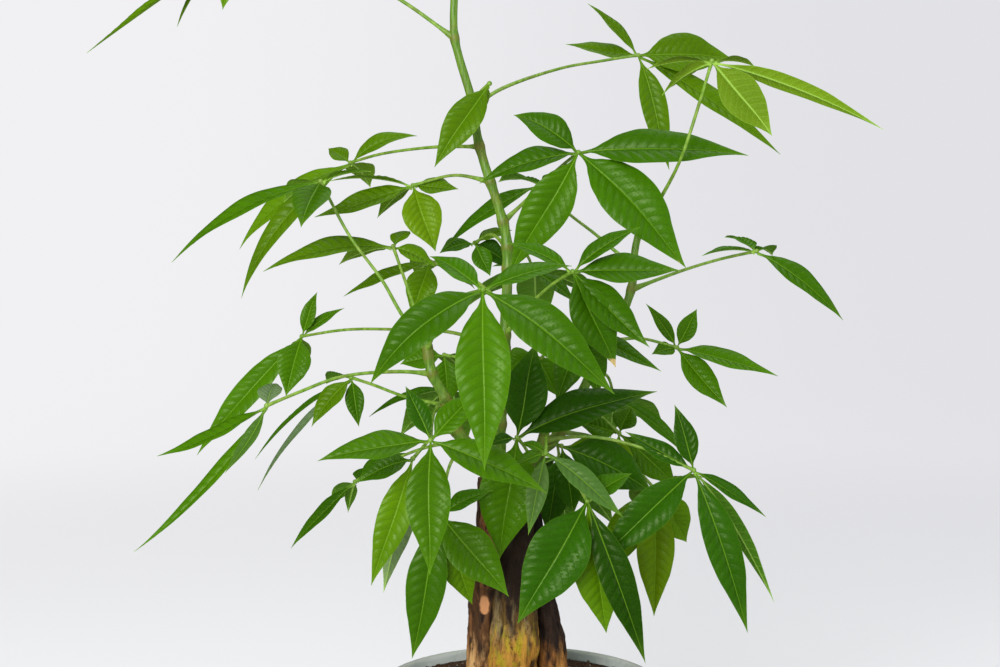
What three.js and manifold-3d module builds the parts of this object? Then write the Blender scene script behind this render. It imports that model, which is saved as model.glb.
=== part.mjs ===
// Potted money tree: a plain glazed pot, its soil, four trunk stems twisted together, the green
// shoots that stand on them, and palmate leaves on long stalks.
// Millimetres, +Z up. The origin is the centre of the pot's flat foot, and the front is towards -Y.
import * as THREE from "three";
import { mergeVertices } from "three/addons/utils/BufferGeometryUtils.js";
import Module from "manifold-3d";

const wasm = await Module();
wasm.setup();

// Driving dimensions of the pot and its soil
const GAP = 0.3;
const POT_HEIGHT = 154;
const POT_RIM_RADIUS = 87.5;
const POT_FOOT_RADIUS = 62;
const POT_WALL = 4.5;
const POT_FLOOR = 7;
const POT_EDGE = 2;
const POT_SIDES = 28;
const SOIL_DEPTH_BELOW_RIM = 6;
const SOIL_LUMP = 2.2;
const SOIL_RINGS = [1, 0.75, 0.5, 0.25, 0];

// Driving dimensions of the twisted trunk
const TRUNK_FOOT_Z = 104;
const TRUNK_TOP_Z = 283;
const TRUNK_FOOT_AXIS = [-3, 1];
const TRUNK_TOP_AXIS = [-9, 0];
const TRUNK_TWIST = THREE.MathUtils.degToRad(50);
const TRUNK_SIDES = 10;
const TRUNK_STEPS = 9;
const TRUNK_SAWN_OFF = 4;

// Driving dimensions of the stalks and blades
const STALK_FOOT_RADIUS = 1.9;
const STALK_RADIUS = 1.1;
const STALK_SIDES = 4;
const STALK_STEP = 38;
const SHOOT_SIDES = 6;
const SHOOT_STEP = 26;
const HUB_SIZE = 3.8;
const BLADE_THICKNESS = 0.7;
const BLADE_BASE = 1;
const BLADE_FOLD = 0.2;
const BLADE_BOW = 0.06;
const SHORT_BLADE = 40;
const LONG_BLADE = 85;
const SHORT_BLADE_STEPS = 3;
const BLADE_STEPS = 4;
const LONG_BLADE_STEPS = 5;

// Each trunk stem: where it stands round the bundle in degrees, how far it stands off the bundle's
// axis at foot and top, and its radius there
const TRUNK_STEMS = [
  { name: "trunk_stem_front", angle: 252, reach: [13, 12.5], radius: [21, 8.6] },
  { name: "trunk_stem_left", angle: 182, reach: [23, 12.5], radius: [12, 8.6] },
  { name: "trunk_stem_right", angle: 2, reach: [30, 12.5], radius: [12, 8.2] },
  { name: "trunk_stem_back", angle: 80, reach: [17, 12.5], radius: [13, 8.6] },
];

// Each green shoot: its route from the top of a trunk stem, and its radius at foot and tip
const SHOOTS = [
  {
    name: "shoot_left",
    route: [
      [-17, -10, 279],
      [-25, -15, 292],
      [-34, -19, 306],
      [-41, -20, 317],
      [-46, -21, 334],
      [-53, -22, 347],
      [-56, -21, 364],
    ],
    radius: [4, 2.7],
  },
  {
    name: "shoot_centre",
    route: [
      [-17, 9, 279],
      [-13, 3, 296],
      [-13, 0, 311],
      [-10, 0, 368],
      [-9, 0, 425],
      [-15, 0, 449],
      [-22, 1, 470],
      [-26, 2, 485],
      [-30, 2, 509],
      [-37, 1, 533],
      [-40, 1, 546],
      [-40, 2, 570],
      [-37, 3, 602],
      [-34, 5, 634],
    ],
    radius: [3.7, 1.9],
  },
  {
    name: "shoot_right",
    route: [
      [-2, 9, 279],
      [10, 12, 293],
      [24, 12, 308],
      [38, 11, 334],
      [49, 10, 360],
      [59, 10, 375],
      [65, 11, 389],
      [68, 12, 402],
      [69, 12, 419],
      [72, 11, 433],
    ],
    radius: [3.5, 2.1],
  },
  {
    name: "shoot_front",
    route: [
      [-2, -10, 279],
      [4, -15, 293],
      [11, -20, 303],
      [14, -22, 314],
    ],
    radius: [3.5, 2.5],
  },
];

// Each leaf: the shoot that its stalk leaves, the stalk's route from that shoot's axis to the hub,
// and its leaflets. A leaflet is [x, y, z of its tip from the hub, width, face], where face is the
// height angle of its upper side: 0 looks to the front, 90 to the sky and 180 to the back. One that
// arches unlike the others ends with a bow of its own.
const LEAVES = [
  {
    name: "leaf_front_middle",
    shoot: "shoot_left",
    stalk: [[-56, -21, 361], [-50, -42, 374], [-36, -85, 395], [-22, -120, 402]],
    leaflets: [
      [-59, -12, -49, 23, 35, 0.18],
      [1, -22, -93, 29, 30],
      [69, -14, -54, 26, 30, 0.09],
      [48, 18, 12, 17, 62],
      [-29, 22, 17, 16, 62],
    ],
  },
  {
    name: "leaf_front_low",
    shoot: "shoot_left",
    stalk: [[-45, -21, 331], [-48, -56, 333], [-50, -90, 329], [-50, -116, 321]],
    leaflets: [
      [-14, 12, 28, 12, 40],
      [-60, -6, -10, 21, 55, 0.04],
      [0, -18, -69, 24, 30],
      [62, -8, -27, 22, 45],
      [25, 14, 24, 16, 40],
    ],
  },
  {
    name: "leaf_low_left_inner",
    shoot: "shoot_left",
    stalk: [[-39, -20, 313], [-51, -45, 313], [-62, -70, 304]],
    leaflets: [
      [-23, -12, -70, 19, 20],
      [-18, 14, -80, 20, 150],
      [-32, -4, -13, 18, 50],
    ],
  },
  {
    name: "leaf_low_left_back",
    shoot: "shoot_left",
    stalk: [[-30, -17, 300], [-48, 12, 300], [-80, 48, 285], [-107, 70, 267]],
    leaflets: [
      [-43, 5, -45, 13, 62, 0.03],
      [-6, 14, -23, 8, 100],
      [36, 14, 17, 18, 70],
      [14, 40, 2, 16, 110],
      [-20, 38, -24, 13, 130],
    ],
  },
  {
    name: "leaf_low_left_hanging",
    shoot: "shoot_left",
    stalk: [[-33, -19, 305], [-42, -44, 296], [-47, -60, 270]],
    leaflets: [
      [39, -14, -44, 26, 25],
      [-17, 8, -86, 23, 10],
      [18, 16, -56, 22, 15],
      [30, 2, 14, 14, 60],
    ],
  },
  {
    name: "leaf_middle_young",
    shoot: "shoot_front",
    stalk: [[14, -22, 311], [14, -44, 314], [13, -62, 306]],
    leaflets: [
      [-18, -4, -7, 10, 50],
      [-10, -8, -46, 12, 20],
      [44, -6, -36, 14, 40],
      [-14, 8, 5, 8, 60],
    ],
  },
  {
    name: "leaf_middle_dark",
    shoot: "shoot_front",
    stalk: [[6, -16, 295], [1, -34, 306], [-3, -42, 312]],
    leaflets: [
      [81, 0, 27, 28, 50],
      [11, 12, 54, 26, 20],
      [-10, -6, -70, 34, 20],
      [-17, -4, -4, 10, 60],
    ],
  },
  {
    name: "leaf_low_middle",
    shoot: "shoot_front",
    stalk: [[10, -19, 301], [24, -42, 296], [37, -60, 278]],
    leaflets: [
      [-40, -16, -67, 34, 20],
      [12, 12, -80, 30, 10],
      [34, 2, -95, 20, 25],
      [26, 12, 14, 16, 60],
    ],
  },
  {
    name: "leaf_low_right",
    shoot: "shoot_front",
    stalk: [[12, -20, 307], [40, -24, 310], [70, -28, 304], [101, -30, 291]],
    leaflets: [
      [-11, 6, 38, 14, 30],
      [-40, 6, 22, 13, 45, 0],
      [-59, -12, -54, 23, 20],
      [32, -6, -96, 21, 40],
      [44, 6, -29, 13, 60, 0.02],
      [52, 22, -84, 12, 120],
    ],
  },
  {
    name: "leaf_low_right_back",
    shoot: "shoot_right",
    stalk: [[24, 12, 308], [46, 26, 302], [68, 36, 286], [85, 42, 267]],
    leaflets: [
      [0, 0, -82, 24, 5],
      [22, 14, -37, 24, 10],
      [-36, 10, -58, 24, 20],
      [34, 22, 4, 18, 100],
      [-8, 46, -24, 22, 140],
    ],
  },
  {
    name: "leaf_middle_back",
    shoot: "shoot_right",
    stalk: [[12, 12, 295], [20, 2, 301], [24, -8, 302]],
    leaflets: [
      [56, 2, -29, 30, 35],
      [47, 16, -15, 22, 35],
      [8, 10, -44, 18, 10],
    ],
  },
  {
    name: "leaf_right_inner",
    shoot: "shoot_right",
    stalk: [[31, 12, 321], [46, 22, 318], [61, 25, 305]],
    leaflets: [
      [36, 0, -34, 22, 30],
      [-28, -4, 8, 16, 35],
      [-4, -10, -36, 20, 10],
      [8, 8, 16, 16, 40],
    ],
  },
  {
    name: "leaf_right_middle",
    shoot: "shoot_right",
    stalk: [[51, 10, 363], [73, 26, 364], [98, 40, 357]],
    leaflets: [
      [-20, -4, 28, 9, 30],
      [13, 6, 24, 12, 10],
      [-17, -12, -3, 11, 40],
      [31, -6, -37, 18, 30, -0.04],
      [64, 2, -18, 18, 55, 0.02],
    ],
  },
  {
    name: "leaf_right_end",
    shoot: "shoot_right",
    stalk: [[67, 11, 395], [97, 14, 406], [121, 18, 413], [144, 20, 418]],
    leaflets: [
      [-36, -20, -2, 13, 85],
      [-15, 34, 8, 15, 100],
      [53, -4, -42, 17, 50, 0.06],
      [17, 44, -4, 15, 105],
    ],
  },
  {
    name: "leaf_upper_middle",
    shoot: "shoot_centre",
    stalk: [[-11, 0, 436], [4, 8, 450], [20, 0, 466], [33, -20, 477]],
    leaflets: [
      [-38, 6, 22, 20, 35, 0.13],
      [-58, 2, -18, 20, 50, 0.07],
      [-40, 10, -71, 27, 10],
      [62, -14, -67, 33, 20],
      [98, -10, -2, 26, 36, 0.06],
    ],
  },
  {
    name: "leaf_upper_back",
    shoot: "shoot_right",
    stalk: [[69, 12, 409], [60, 20, 416], [46, 28, 428], [27, 36, 443], [12, 42, 459]],
    leaflets: [
      [-60, 8, -40, 16, 55],
      [24, 20, 6, 18, 90],
      [12, 56, -20, 22, 120],
      [-26, 42, 2, 20, 110],
    ],
  },
  {
    name: "leaf_middle_right",
    shoot: "shoot_centre",
    stalk: [[-10, 0, 368], [2, -20, 385], [16, -43, 400], [28, -60, 409]],
    leaflets: [
      [38, 4, 25, 14, 60],
      [60, -4, 1, 22, 45, 0.01],
      [43, -10, -42, 22, 45, -0.03],
      [25, 4, -55, 24, 15],
      [-37, 6, 16, 14, 60],
    ],
  },
  {
    name: "leaf_middle_inner",
    shoot: "shoot_centre",
    stalk: [[-12, 0, 330], [8, -10, 352], [24, -13, 366], [36, -15, 374]],
    leaflets: [
      [46, -10, -25, 16, 60, -0.02],
      [-16, -12, -44, 20, 20],
      [-34, -14, -6, 18, 50],
      [10, 4, -42, 18, 20],
    ],
  },
  {
    name: "leaf_centre_back",
    shoot: "shoot_centre",
    stalk: [[-9, 0, 421], [-18, 28, 428], [-29, 60, 422]],
    leaflets: [
      [24, 14, 8, 13, 65],
      [-22, -10, -6, 15, 60],
      [10, -4, -21, 13, 25],
      [22, 14, -15, 17, 40],
    ],
  },
  {
    name: "leaf_top_right",
    shoot: "shoot_right",
    stalk: [[72, 11, 431], [82, -16, 451], [90, -44, 472], [95, -50, 488], [108, -40, 528]],
    leaflets: [
      [97, -8, -39, 12, 138, 0.06],
      [32, -18, -43, 23, 150],
      [-30, -14, -20, 15, 120],
      [-36, 14, -3, 12, 95],
      [28, 22, -1, 12, 100],
    ],
  },
  {
    name: "leaf_top_right_back",
    shoot: "shoot_centre",
    stalk: [[-29, 2, 503], [-15, 22, 515], [26, 75, 533], [53, 105, 540], [80, 130, 546]],
    leaflets: [
      [-34, 4, 35, 12, 60, 0.04],
      [-49, -6, 7, 17, 50, -0.02],
      [65, 10, -2, 30, 25],
      [21, -4, -77, 18, 30],
      [97, 4, -66, 20, 45, 0.03],
    ],
  },
  {
    name: "leaf_centre_single",
    shoot: "shoot_centre",
    stalk: [[-30, 2, 508], [-24, -12, 513], [-19, -18, 517]],
    leaflets: [
      [-32, -10, -49, 20, 20],
      [-14, 26, -30, 13, 90],
    ],
  },
  {
    name: "leaf_upper_left_inner",
    shoot: "shoot_centre",
    stalk: [[-18, 1, 460], [-40, 9, 464], [-66, 20, 458]],
    leaflets: [
      [-60, -2, -19, 20, 55, -0.02],
      [-53, 16, 3, 13, 90],
      [14, -8, -40, 24, 20],
      [28, -10, -2, 15, 45, 0],
      [-24, 28, -20, 13, 100],
    ],
  },
  {
    name: "leaf_upper_left",
    shoot: "shoot_left",
    stalk: [[-56, -21, 363], [-70, -22, 381], [-82, -22, 402], [-101, -21, 428], [-118, -20, 460]],
    leaflets: [
      [-87, -6, -47, 18, 62, 0.08],
      [-7, -40, -26, 22, 50],
      [30, -6, 6, 14, 90],
      [-26, 34, -12, 18, 110],
    ],
  },
  {
    name: "leaf_upper_left_back",
    shoot: "shoot_centre",
    stalk: [[-25, 2, 481], [-54, 45, 482], [-90, 90, 479], [-113, 120, 474]],
    leaflets: [
      [45, 0, 18, 15, 50, 0.13],
      [-16, 12, 10, 13, 40],
      [-76, 6, -58, 22, 55, 0.1],
      [-72, -14, -90, 17, 50, 0.15],
      [10, 44, -16, 20, 130],
    ],
  },
  {
    name: "leaf_left_inner",
    shoot: "shoot_left",
    stalk: [[-55, -21, 357], [-66, -4, 390], [-78, 16, 421]],
    leaflets: [
      [-79, -4, -15, 21, 60, 0.08],
      [26, -4, -12, 14, 50],
      [9, 22, 9, 12, 80],
      [-36, 30, -12, 18, 110],
    ],
  },
  {
    name: "leaf_left_inner_back",
    shoot: "shoot_centre",
    stalk: [[-10, 0, 386], [-32, 28, 402], [-57, 60, 410]],
    leaflets: [
      [-56, 4, -22, 18, 70, 0.03],
      [-12, -8, -34, 20, 20],
      [28, 16, -18, 18, 60],
      [-12, 46, -12, 20, 120],
    ],
  },
  {
    name: "leaf_left_far",
    shoot: "shoot_centre",
    stalk: [[-10, 0, 360], [-44, 24, 368], [-82, 46, 368], [-112, 68, 366], [-143, 90, 360]],
    leaflets: [
      [10, 4, 29, 10, 30],
      [27, 12, 18, 9, 50],
      [-9, -14, -38, 22, 20],
      [-69, -6, -78, 19, 35],
      [-6, 34, -32, 15, 120],
    ],
  },
  {
    name: "leaf_left_front",
    shoot: "shoot_left",
    stalk: [[-53, -22, 347], [-72, -29, 349], [-104, -48, 348], [-126, -62, 341], [-144, -70, 334]],
    leaflets: [
      [-63, 4, -29, 18, 72, -0.05],
      [-73, -14, -80, 11, 66, -0.07],
      [-20, -24, -34, 9, 70, -0.06],
      [2, 26, 10, 14, 110],
    ],
  },
  {
    name: "leaf_left_middle",
    shoot: "shoot_left",
    stalk: [[-45, -21, 328], [-72, 10, 330], [-92, 28, 335], [-106, 40, 338]],
    leaflets: [
      [-62, 4, -52, 11, 80],
      [-58, -14, -69, 8, 75],
      [-24, -14, -29, 16, 60],
      [5, -8, -30, 12, 30],
      [-20, 38, -8, 18, 110],
    ],
  },
  {
    name: "leaf_top_left",
    shoot: "shoot_centre",
    stalk: [[-40, 1, 545], [-73, 0, 568], [-120, 0, 592], [-166, 0, 602]],
    leaflets: [
      [-91, -6, -66, 20, 70, 0],
      [-41, 12, -49, 18, 70],
      [-9, -14, -42, 20, 30],
      [20, 24, -6, 16, 100],
      [-40, 34, -2, 20, 110],
    ],
  },
  {
    name: "leaf_crown_right",
    shoot: "shoot_centre",
    stalk: [[-38, 3, 592], [-12, -14, 612], [20, -26, 624]],
    leaflets: [
      [62, -8, -18, 22, 60],
      [36, -44, -20, 22, 70],
      [34, 30, 0, 18, 90],
      [4, 30, 16, 14, 90],
      [-6, -36, -8, 16, 70],
    ],
  },
  {
    name: "leaf_crown_back",
    shoot: "shoot_centre",
    stalk: [[-36, 4, 608], [-30, 36, 626], [-20, 66, 634]],
    leaflets: [
      [6, 66, -22, 24, 110],
      [52, 34, -12, 20, 100],
      [-46, 38, -10, 20, 100],
      [28, -14, 12, 13, 80],
    ],
  },
  {
    name: "leaf_crown_left",
    shoot: "shoot_centre",
    stalk: [[-35, 4, 622], [-56, -12, 640], [-78, -26, 646]],
    leaflets: [
      [-66, -12, -22, 22, 70],
      [-32, -52, -24, 22, 70],
      [-38, 34, -4, 17, 95],
      [10, -34, 2, 13, 80],
    ],
  },
  {
    name: "leaf_crown_tip",
    shoot: "shoot_centre",
    stalk: [[-34, 5, 631], [-31, 6, 644], [-29, 6, 655]],
    leaflets: [
      [10, -20, 8, 10, 50],
      [26, 8, 4, 10, 80],
      [-6, 24, 6, 9, 110],
      [-24, 6, 9, 9, 80],
    ],
  },
  {
    name: "leaf_back_right",
    shoot: "shoot_right",
    stalk: [[43, 11, 346], [55, 48, 338], [62, 88, 320]],
    leaflets: [
      [54, 8, -46, 15, 60],
      [40, 48, -30, 20, 120],
      [2, 62, -36, 24, 140],
      [-34, 34, -12, 20, 120],
    ],
  },
  {
    name: "leaf_back_middle",
    shoot: "shoot_centre",
    stalk: [[-9, 0, 408], [2, 50, 416], [10, 104, 402]],
    leaflets: [
      [4, 66, -44, 26, 140],
      [46, 34, -20, 22, 110],
      [-46, 36, -26, 22, 110],
      [26, -12, -20, 14, 60],
      [-28, -8, 4, 14, 80],
    ],
  },
  {
    name: "leaf_back_left",
    shoot: "shoot_centre",
    stalk: [[-12, 0, 324], [-28, 46, 334], [-46, 92, 326]],
    leaflets: [
      [-36, 50, -40, 24, 130],
      [10, 54, -48, 24, 140],
      [-54, 6, -20, 18, 80],
      [28, 12, -14, 16, 80],
    ],
  },
  {
    name: "leaf_centre_low_back",
    shoot: "shoot_centre",
    stalk: [[-13, 0, 314], [-4, 20, 332], [9, 40, 354]],
    leaflets: [
      [-18, 4, -12, 18, 25],
      [14, 4, -28, 18, 25],
      [10, 30, 10, 16, 110],
    ],
  },
  {
    name: "leaf_centre_low_left",
    shoot: "shoot_centre",
    stalk: [[-12, 0, 342], [-28, 24, 350], [-48, 44, 352]],
    leaflets: [
      [-28, 2, -6, 18, 40],
      [2, 2, -32, 20, 15],
      [10, 34, -14, 18, 120],
    ],
  },
  {
    name: "leaf_back_low",
    shoot: "shoot_right",
    stalk: [[18, 12, 301], [22, 46, 300], [26, 84, 282]],
    leaflets: [
      [6, 44, -58, 26, 150],
      [38, 26, -52, 26, 150],
      [-38, 30, -34, 22, 120],
      [-8, -6, -52, 22, 20],
    ],
  },
];

const MATERIALS = {
  glaze: new THREE.MeshStandardMaterial({ color: 0x9fa9a4, roughness: 0.3, metalness: 0 }),
  soil: new THREE.MeshStandardMaterial({ color: 0x4a3b2c, roughness: 0.95, metalness: 0 }),
  bark: new THREE.MeshStandardMaterial({ color: 0x6a4a2a, roughness: 0.85, metalness: 0 }),
  green_stem: new THREE.MeshStandardMaterial({ color: 0x6f9a3e, roughness: 0.6, metalness: 0 }),
  leaf: new THREE.MeshStandardMaterial({ color: 0x3f7d12, roughness: 0.45, metalness: 0 }),
};

const point = ([x, y, z]) => new THREE.Vector3(x, y, z);

// Closed meshes become solids for joining and cutting, and come back as drawable geometry

function solidOf(geometry) {
  const bare = geometry.clone();
  bare.deleteAttribute("normal");
  bare.deleteAttribute("uv");
  const welded = mergeVertices(bare);
  return new wasm.Manifold(
    new wasm.Mesh({
      numProp: 3,
      vertProperties: new Float32Array(welded.attributes.position.array),
      triVerts: new Uint32Array(welded.index.array),
    }),
  );
}

function geometryOf(solid) {
  const { vertProperties, triVerts } = solid.getMesh();
  const geometry = new THREE.BufferGeometry();
  geometry.setAttribute("position", new THREE.BufferAttribute(vertProperties, 3));
  geometry.setIndex(new THREE.BufferAttribute(triVerts, 1));
  geometry.computeVertexNormals();
  return geometry;
}

const joined = (solids) => solids.reduce((whole, piece) => whole.add(piece));

// A closed body through rings of points, each ring turning the same way about the route.
// Squares of the columns in crossed are split along their other diagonal. The far end runs to the
// point tip, or is closed flat where there is none.
function loft(rings, crossed = [], tip = null) {
  const count = rings[0].length;
  const index = [];
  for (let row = 0; row < rings.length - 1; row++) {
    for (let column = 0; column < count; column++) {
      const next = (column + 1) % count;
      const [a, b] = [row * count + column, row * count + next];
      const [c, d] = [b + count, a + count];
      if (crossed.includes(column)) index.push(a, b, d, b, c, d);
      else index.push(a, b, c, a, c, d);
    }
  }
  const last = (rings.length - 1) * count;
  for (let column = 1; column < count - 1; column++) {
    index.push(0, column + 1, column);
    if (!tip) index.push(last, last + column, last + column + 1);
  }
  for (let column = 0; tip && column < count; column++) {
    index.push(last + column, last + ((column + 1) % count), last + count);
  }
  const geometry = new THREE.BufferGeometry();
  const corners = tip ? [...rings.flat(), tip] : rings.flat();
  const places = corners.flatMap((place) => place.toArray());
  geometry.setAttribute("position", new THREE.Float32BufferAttribute(places, 3));
  geometry.setIndex(index);
  return geometry;
}

// A round rod along a curve, whose radius is a function of the share of its length
function rod(curve, radiusAt, sides, steps) {
  const { normals, binormals } = curve.computeFrenetFrames(steps);
  const rings = [];
  for (let step = 0; step <= steps; step++) {
    const share = step / steps;
    const centre = curve.getPointAt(share);
    const ring = [];
    for (let side = 0; side < sides; side++) {
      const angle = (2 * Math.PI * side) / sides;
      const place = centre
        .clone()
        .addScaledVector(normals[step], radiusAt(share) * Math.cos(angle))
        .addScaledVector(binormals[step], radiusAt(share) * Math.sin(angle));
      ring.push(place);
    }
    rings.push(ring);
  }
  return loft(rings);
}

const routeCurve = (route) => new THREE.CatmullRomCurve3(route.map(point), false, "centripetal");

// Pot and soil

function potProfile() {
  const inner = POT_RIM_RADIUS - POT_WALL;
  const innerFoot = POT_FOOT_RADIUS - POT_WALL;
  return [
    [0, 0],
    [POT_FOOT_RADIUS - POT_EDGE, 0],
    [POT_FOOT_RADIUS, POT_EDGE],
    [POT_RIM_RADIUS, POT_HEIGHT - POT_EDGE],
    [POT_RIM_RADIUS - POT_EDGE / 2, POT_HEIGHT],
    [inner + POT_EDGE / 2, POT_HEIGHT],
    [inner, POT_HEIGHT - POT_EDGE],
    [innerFoot, POT_FLOOR],
    [0, POT_FLOOR],
  ].map(([radius, z]) => new THREE.Vector2(radius, z));
}

// LatheGeometry turns about Y, so the turned shape is stood up along Z
const lathe = (profile, sides) => new THREE.LatheGeometry(profile, sides).rotateX(Math.PI / 2);

const soilLevel = POT_HEIGHT - SOIL_DEPTH_BELOW_RIM;

function soilRadius(z) {
  const share = (z - POT_FLOOR) / (POT_HEIGHT - POT_EDGE - POT_FLOOR);
  const wall = THREE.MathUtils.lerp(POT_FOOT_RADIUS - POT_WALL, POT_RIM_RADIUS - POT_WALL, share);
  return wall - 2 * GAP;
}

// Low, uneven ground: sums of waves across it, flat at the pot's wall
function lump(x, y) {
  const edge = 1 - (x * x + y * y) / soilRadius(soilLevel) ** 2;
  const waves = Math.sin(x / 11 + 1) * Math.cos(y / 9) + 0.6 * Math.sin((x - y) / 7);
  return SOIL_LUMP * waves * Math.max(0, edge) ** 0.5;
}

function soilGeometry() {
  const foot = POT_FLOOR + GAP;
  const top = soilRadius(soilLevel);
  const profile = [
    new THREE.Vector2(0, foot),
    new THREE.Vector2(soilRadius(foot), foot),
    ...SOIL_RINGS.map((share) => new THREE.Vector2(top * share, soilLevel)),
  ];
  const ground = lathe(profile, POT_SIDES);
  const places = ground.attributes.position;
  for (let i = 0; i < places.count; i++) {
    const [x, y, z] = [places.getX(i), places.getY(i), places.getZ(i)];
    if (z > soilLevel - GAP) places.setZ(i, z + lump(x, y));
  }
  return ground;
}

// Trunk stems lean on each other round a slowly turning bundle

function trunkCurve({ angle, reach }, extra) {
  const places = [];
  for (let step = 0; step <= TRUNK_STEPS; step++) {
    const share = step / TRUNK_STEPS;
    const turn = THREE.MathUtils.degToRad(angle) + TRUNK_TWIST * share;
    const off = THREE.MathUtils.lerp(reach[0], reach[1], share);
    const [axisX, axisY] = [0, 1].map((i) =>
      THREE.MathUtils.lerp(TRUNK_FOOT_AXIS[i], TRUNK_TOP_AXIS[i], share),
    );
    const z = THREE.MathUtils.lerp(TRUNK_FOOT_Z - extra, TRUNK_TOP_Z + TRUNK_SAWN_OFF, share);
    places.push([axisX + off * Math.cos(turn), axisY + off * Math.sin(turn), z]);
  }
  return routeCurve(places);
}

function trunkSolid(stem, extra) {
  const [foot, top] = stem.radius;
  const knob = (share) => 1 + 0.05 * Math.sin(share * 14 + stem.angle);
  const radiusAt = (share) => THREE.MathUtils.lerp(foot, top, share ** 0.8) * knob(share) + extra;
  const stemRod = solidOf(rod(trunkCurve(stem, extra), radiusAt, TRUNK_SIDES, TRUNK_STEPS));
  return stemRod.trimByPlane([0, 0, -1], -TRUNK_TOP_Z);
}

// Shoots and leaves. A shoot's foot stands on the sawn top of its trunk stem.

function shootSolid({ route, radius }, extra) {
  const curve = routeCurve(route);
  const steps = Math.ceil(curve.getLength() / SHOOT_STEP);
  const radiusAt = (share) => THREE.MathUtils.lerp(radius[0], radius[1], share) + extra;
  const shootRod = solidOf(rod(curve, radiusAt, SHOOT_SIDES, steps));
  return shootRod.trimByPlane([0, 0, 1], TRUNK_TOP_Z + GAP);
}

function stalkSolid(route) {
  const curve = routeCurve(route);
  const steps = Math.max(2, Math.ceil(curve.getLength() / STALK_STEP));
  const radiusAt = (share) => (share < 0.1 ? STALK_FOOT_RADIUS : STALK_RADIUS);
  return solidOf(rod(curve, radiusAt, STALK_SIDES, steps));
}

// Half the blade's width as a share of its greatest half: narrow foot, long drawn-out tip
const outline = (share) => Math.sin(Math.PI * share ** 0.85) ** 1.15;

function bladeSteps(length) {
  if (length < SHORT_BLADE) return SHORT_BLADE_STEPS;
  return length > LONG_BLADE ? LONG_BLADE_STEPS : BLADE_STEPS;
}

// One leaflet: a thin blade folded a little along its midrib and arched along its length
function bladeSolid(hub, [x, y, z, width, face, bow = BLADE_BOW]) {
  const reach = new THREE.Vector3(x, y, z);
  const length = reach.length();
  const along = reach.clone().normalize();
  const faceAngle = THREE.MathUtils.degToRad(face);
  const up = new THREE.Vector3(0, -Math.cos(faceAngle), Math.sin(faceAngle));
  up.addScaledVector(along, -up.dot(along)).normalize();
  const start = hub.clone().addScaledVector(along, HUB_SIZE / 3);
  const tip = hub.clone().add(reach);
  const middle = start.clone().lerp(tip, 0.5).addScaledVector(up, 2 * bow * length);
  const midrib = new THREE.QuadraticBezierCurve3(start, middle, tip);
  const steps = bladeSteps(length);
  const rings = [];
  for (let step = 0; step < steps; step++) {
    const share = step / steps;
    const centre = midrib.getPoint(share);
    const forward = midrib.getTangent(share);
    const side = up.clone().cross(forward).normalize();
    const over = forward.clone().cross(side);
    const half = Math.max(BLADE_BASE, (width / 2) * outline(share));
    const corner = (sideways, sunk) =>
      centre
        .clone()
        .addScaledVector(side, sideways * half)
        .addScaledVector(over, Math.abs(sideways) * half * BLADE_FOLD - sunk * BLADE_THICKNESS);
    rings.push([
      corner(1, 0),
      corner(0, 0),
      corner(-1, 0),
      corner(-1, 1),
      corner(0, 1),
      corner(1, 1),
    ]);
  }
  return solidOf(loft(rings, [1, 4], tip));
}

const shootClearance = {};

function leafSolid({ shoot, stalk, leaflets }) {
  const hub = point(stalk.at(-1));
  const knob = new THREE.BoxGeometry(HUB_SIZE, HUB_SIZE, HUB_SIZE).translate(hub.x, hub.y, hub.z);
  const blades = leaflets.map((leaflet) => bladeSolid(hub, leaflet));
  return joined([stalkSolid(stalk), solidOf(knob), ...blades]).subtract(shootClearance[shoot]);
}

// The plant in its pot

const tree = new THREE.Group();

function addPiece(name, solid, material) {
  const mesh = new THREE.Mesh(geometryOf(solid), material);
  mesh.name = name;
  tree.add(mesh);
}

addPiece("pot", solidOf(lathe(potProfile(), POT_SIDES)), MATERIALS.glaze);

const stemClearances = TRUNK_STEMS.map((stem) => trunkSolid(stem, GAP));
addPiece("soil", solidOf(soilGeometry()).subtract(joined(stemClearances)), MATERIALS.soil);

TRUNK_STEMS.forEach((stem, order) => {
  const neighbours = stemClearances.slice(0, order);
  const solid = neighbours.reduce((rest, clearance) => rest.subtract(clearance), trunkSolid(stem, 0));
  addPiece(stem.name, solid, MATERIALS.bark);
});

for (const shoot of SHOOTS) {
  addPiece(shoot.name, shootSolid(shoot, 0), MATERIALS.green_stem);
  shootClearance[shoot.name] = shootSolid(shoot, GAP);
}

for (const leaf of LEAVES) addPiece(leaf.name, leafSolid(leaf), MATERIALS.leaf);

export default tree;
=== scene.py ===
"""The looks of a potted money tree.

A glazed pot, its soil, four trunk stems twisted together, the green shoots that stand on them, and
palmate leaves on long stalks. Metres, +Z up. The origin is the centre of the pot's flat foot, and
the front is towards -Y.
"""

from __future__ import annotations

import logging
import math
from collections.abc import Mapping, Sequence
from dataclasses import dataclass
from enum import Enum
from typing import Any, ClassVar

import bpy
import numpy as np
from mathutils import Matrix, Vector, noise


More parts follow.
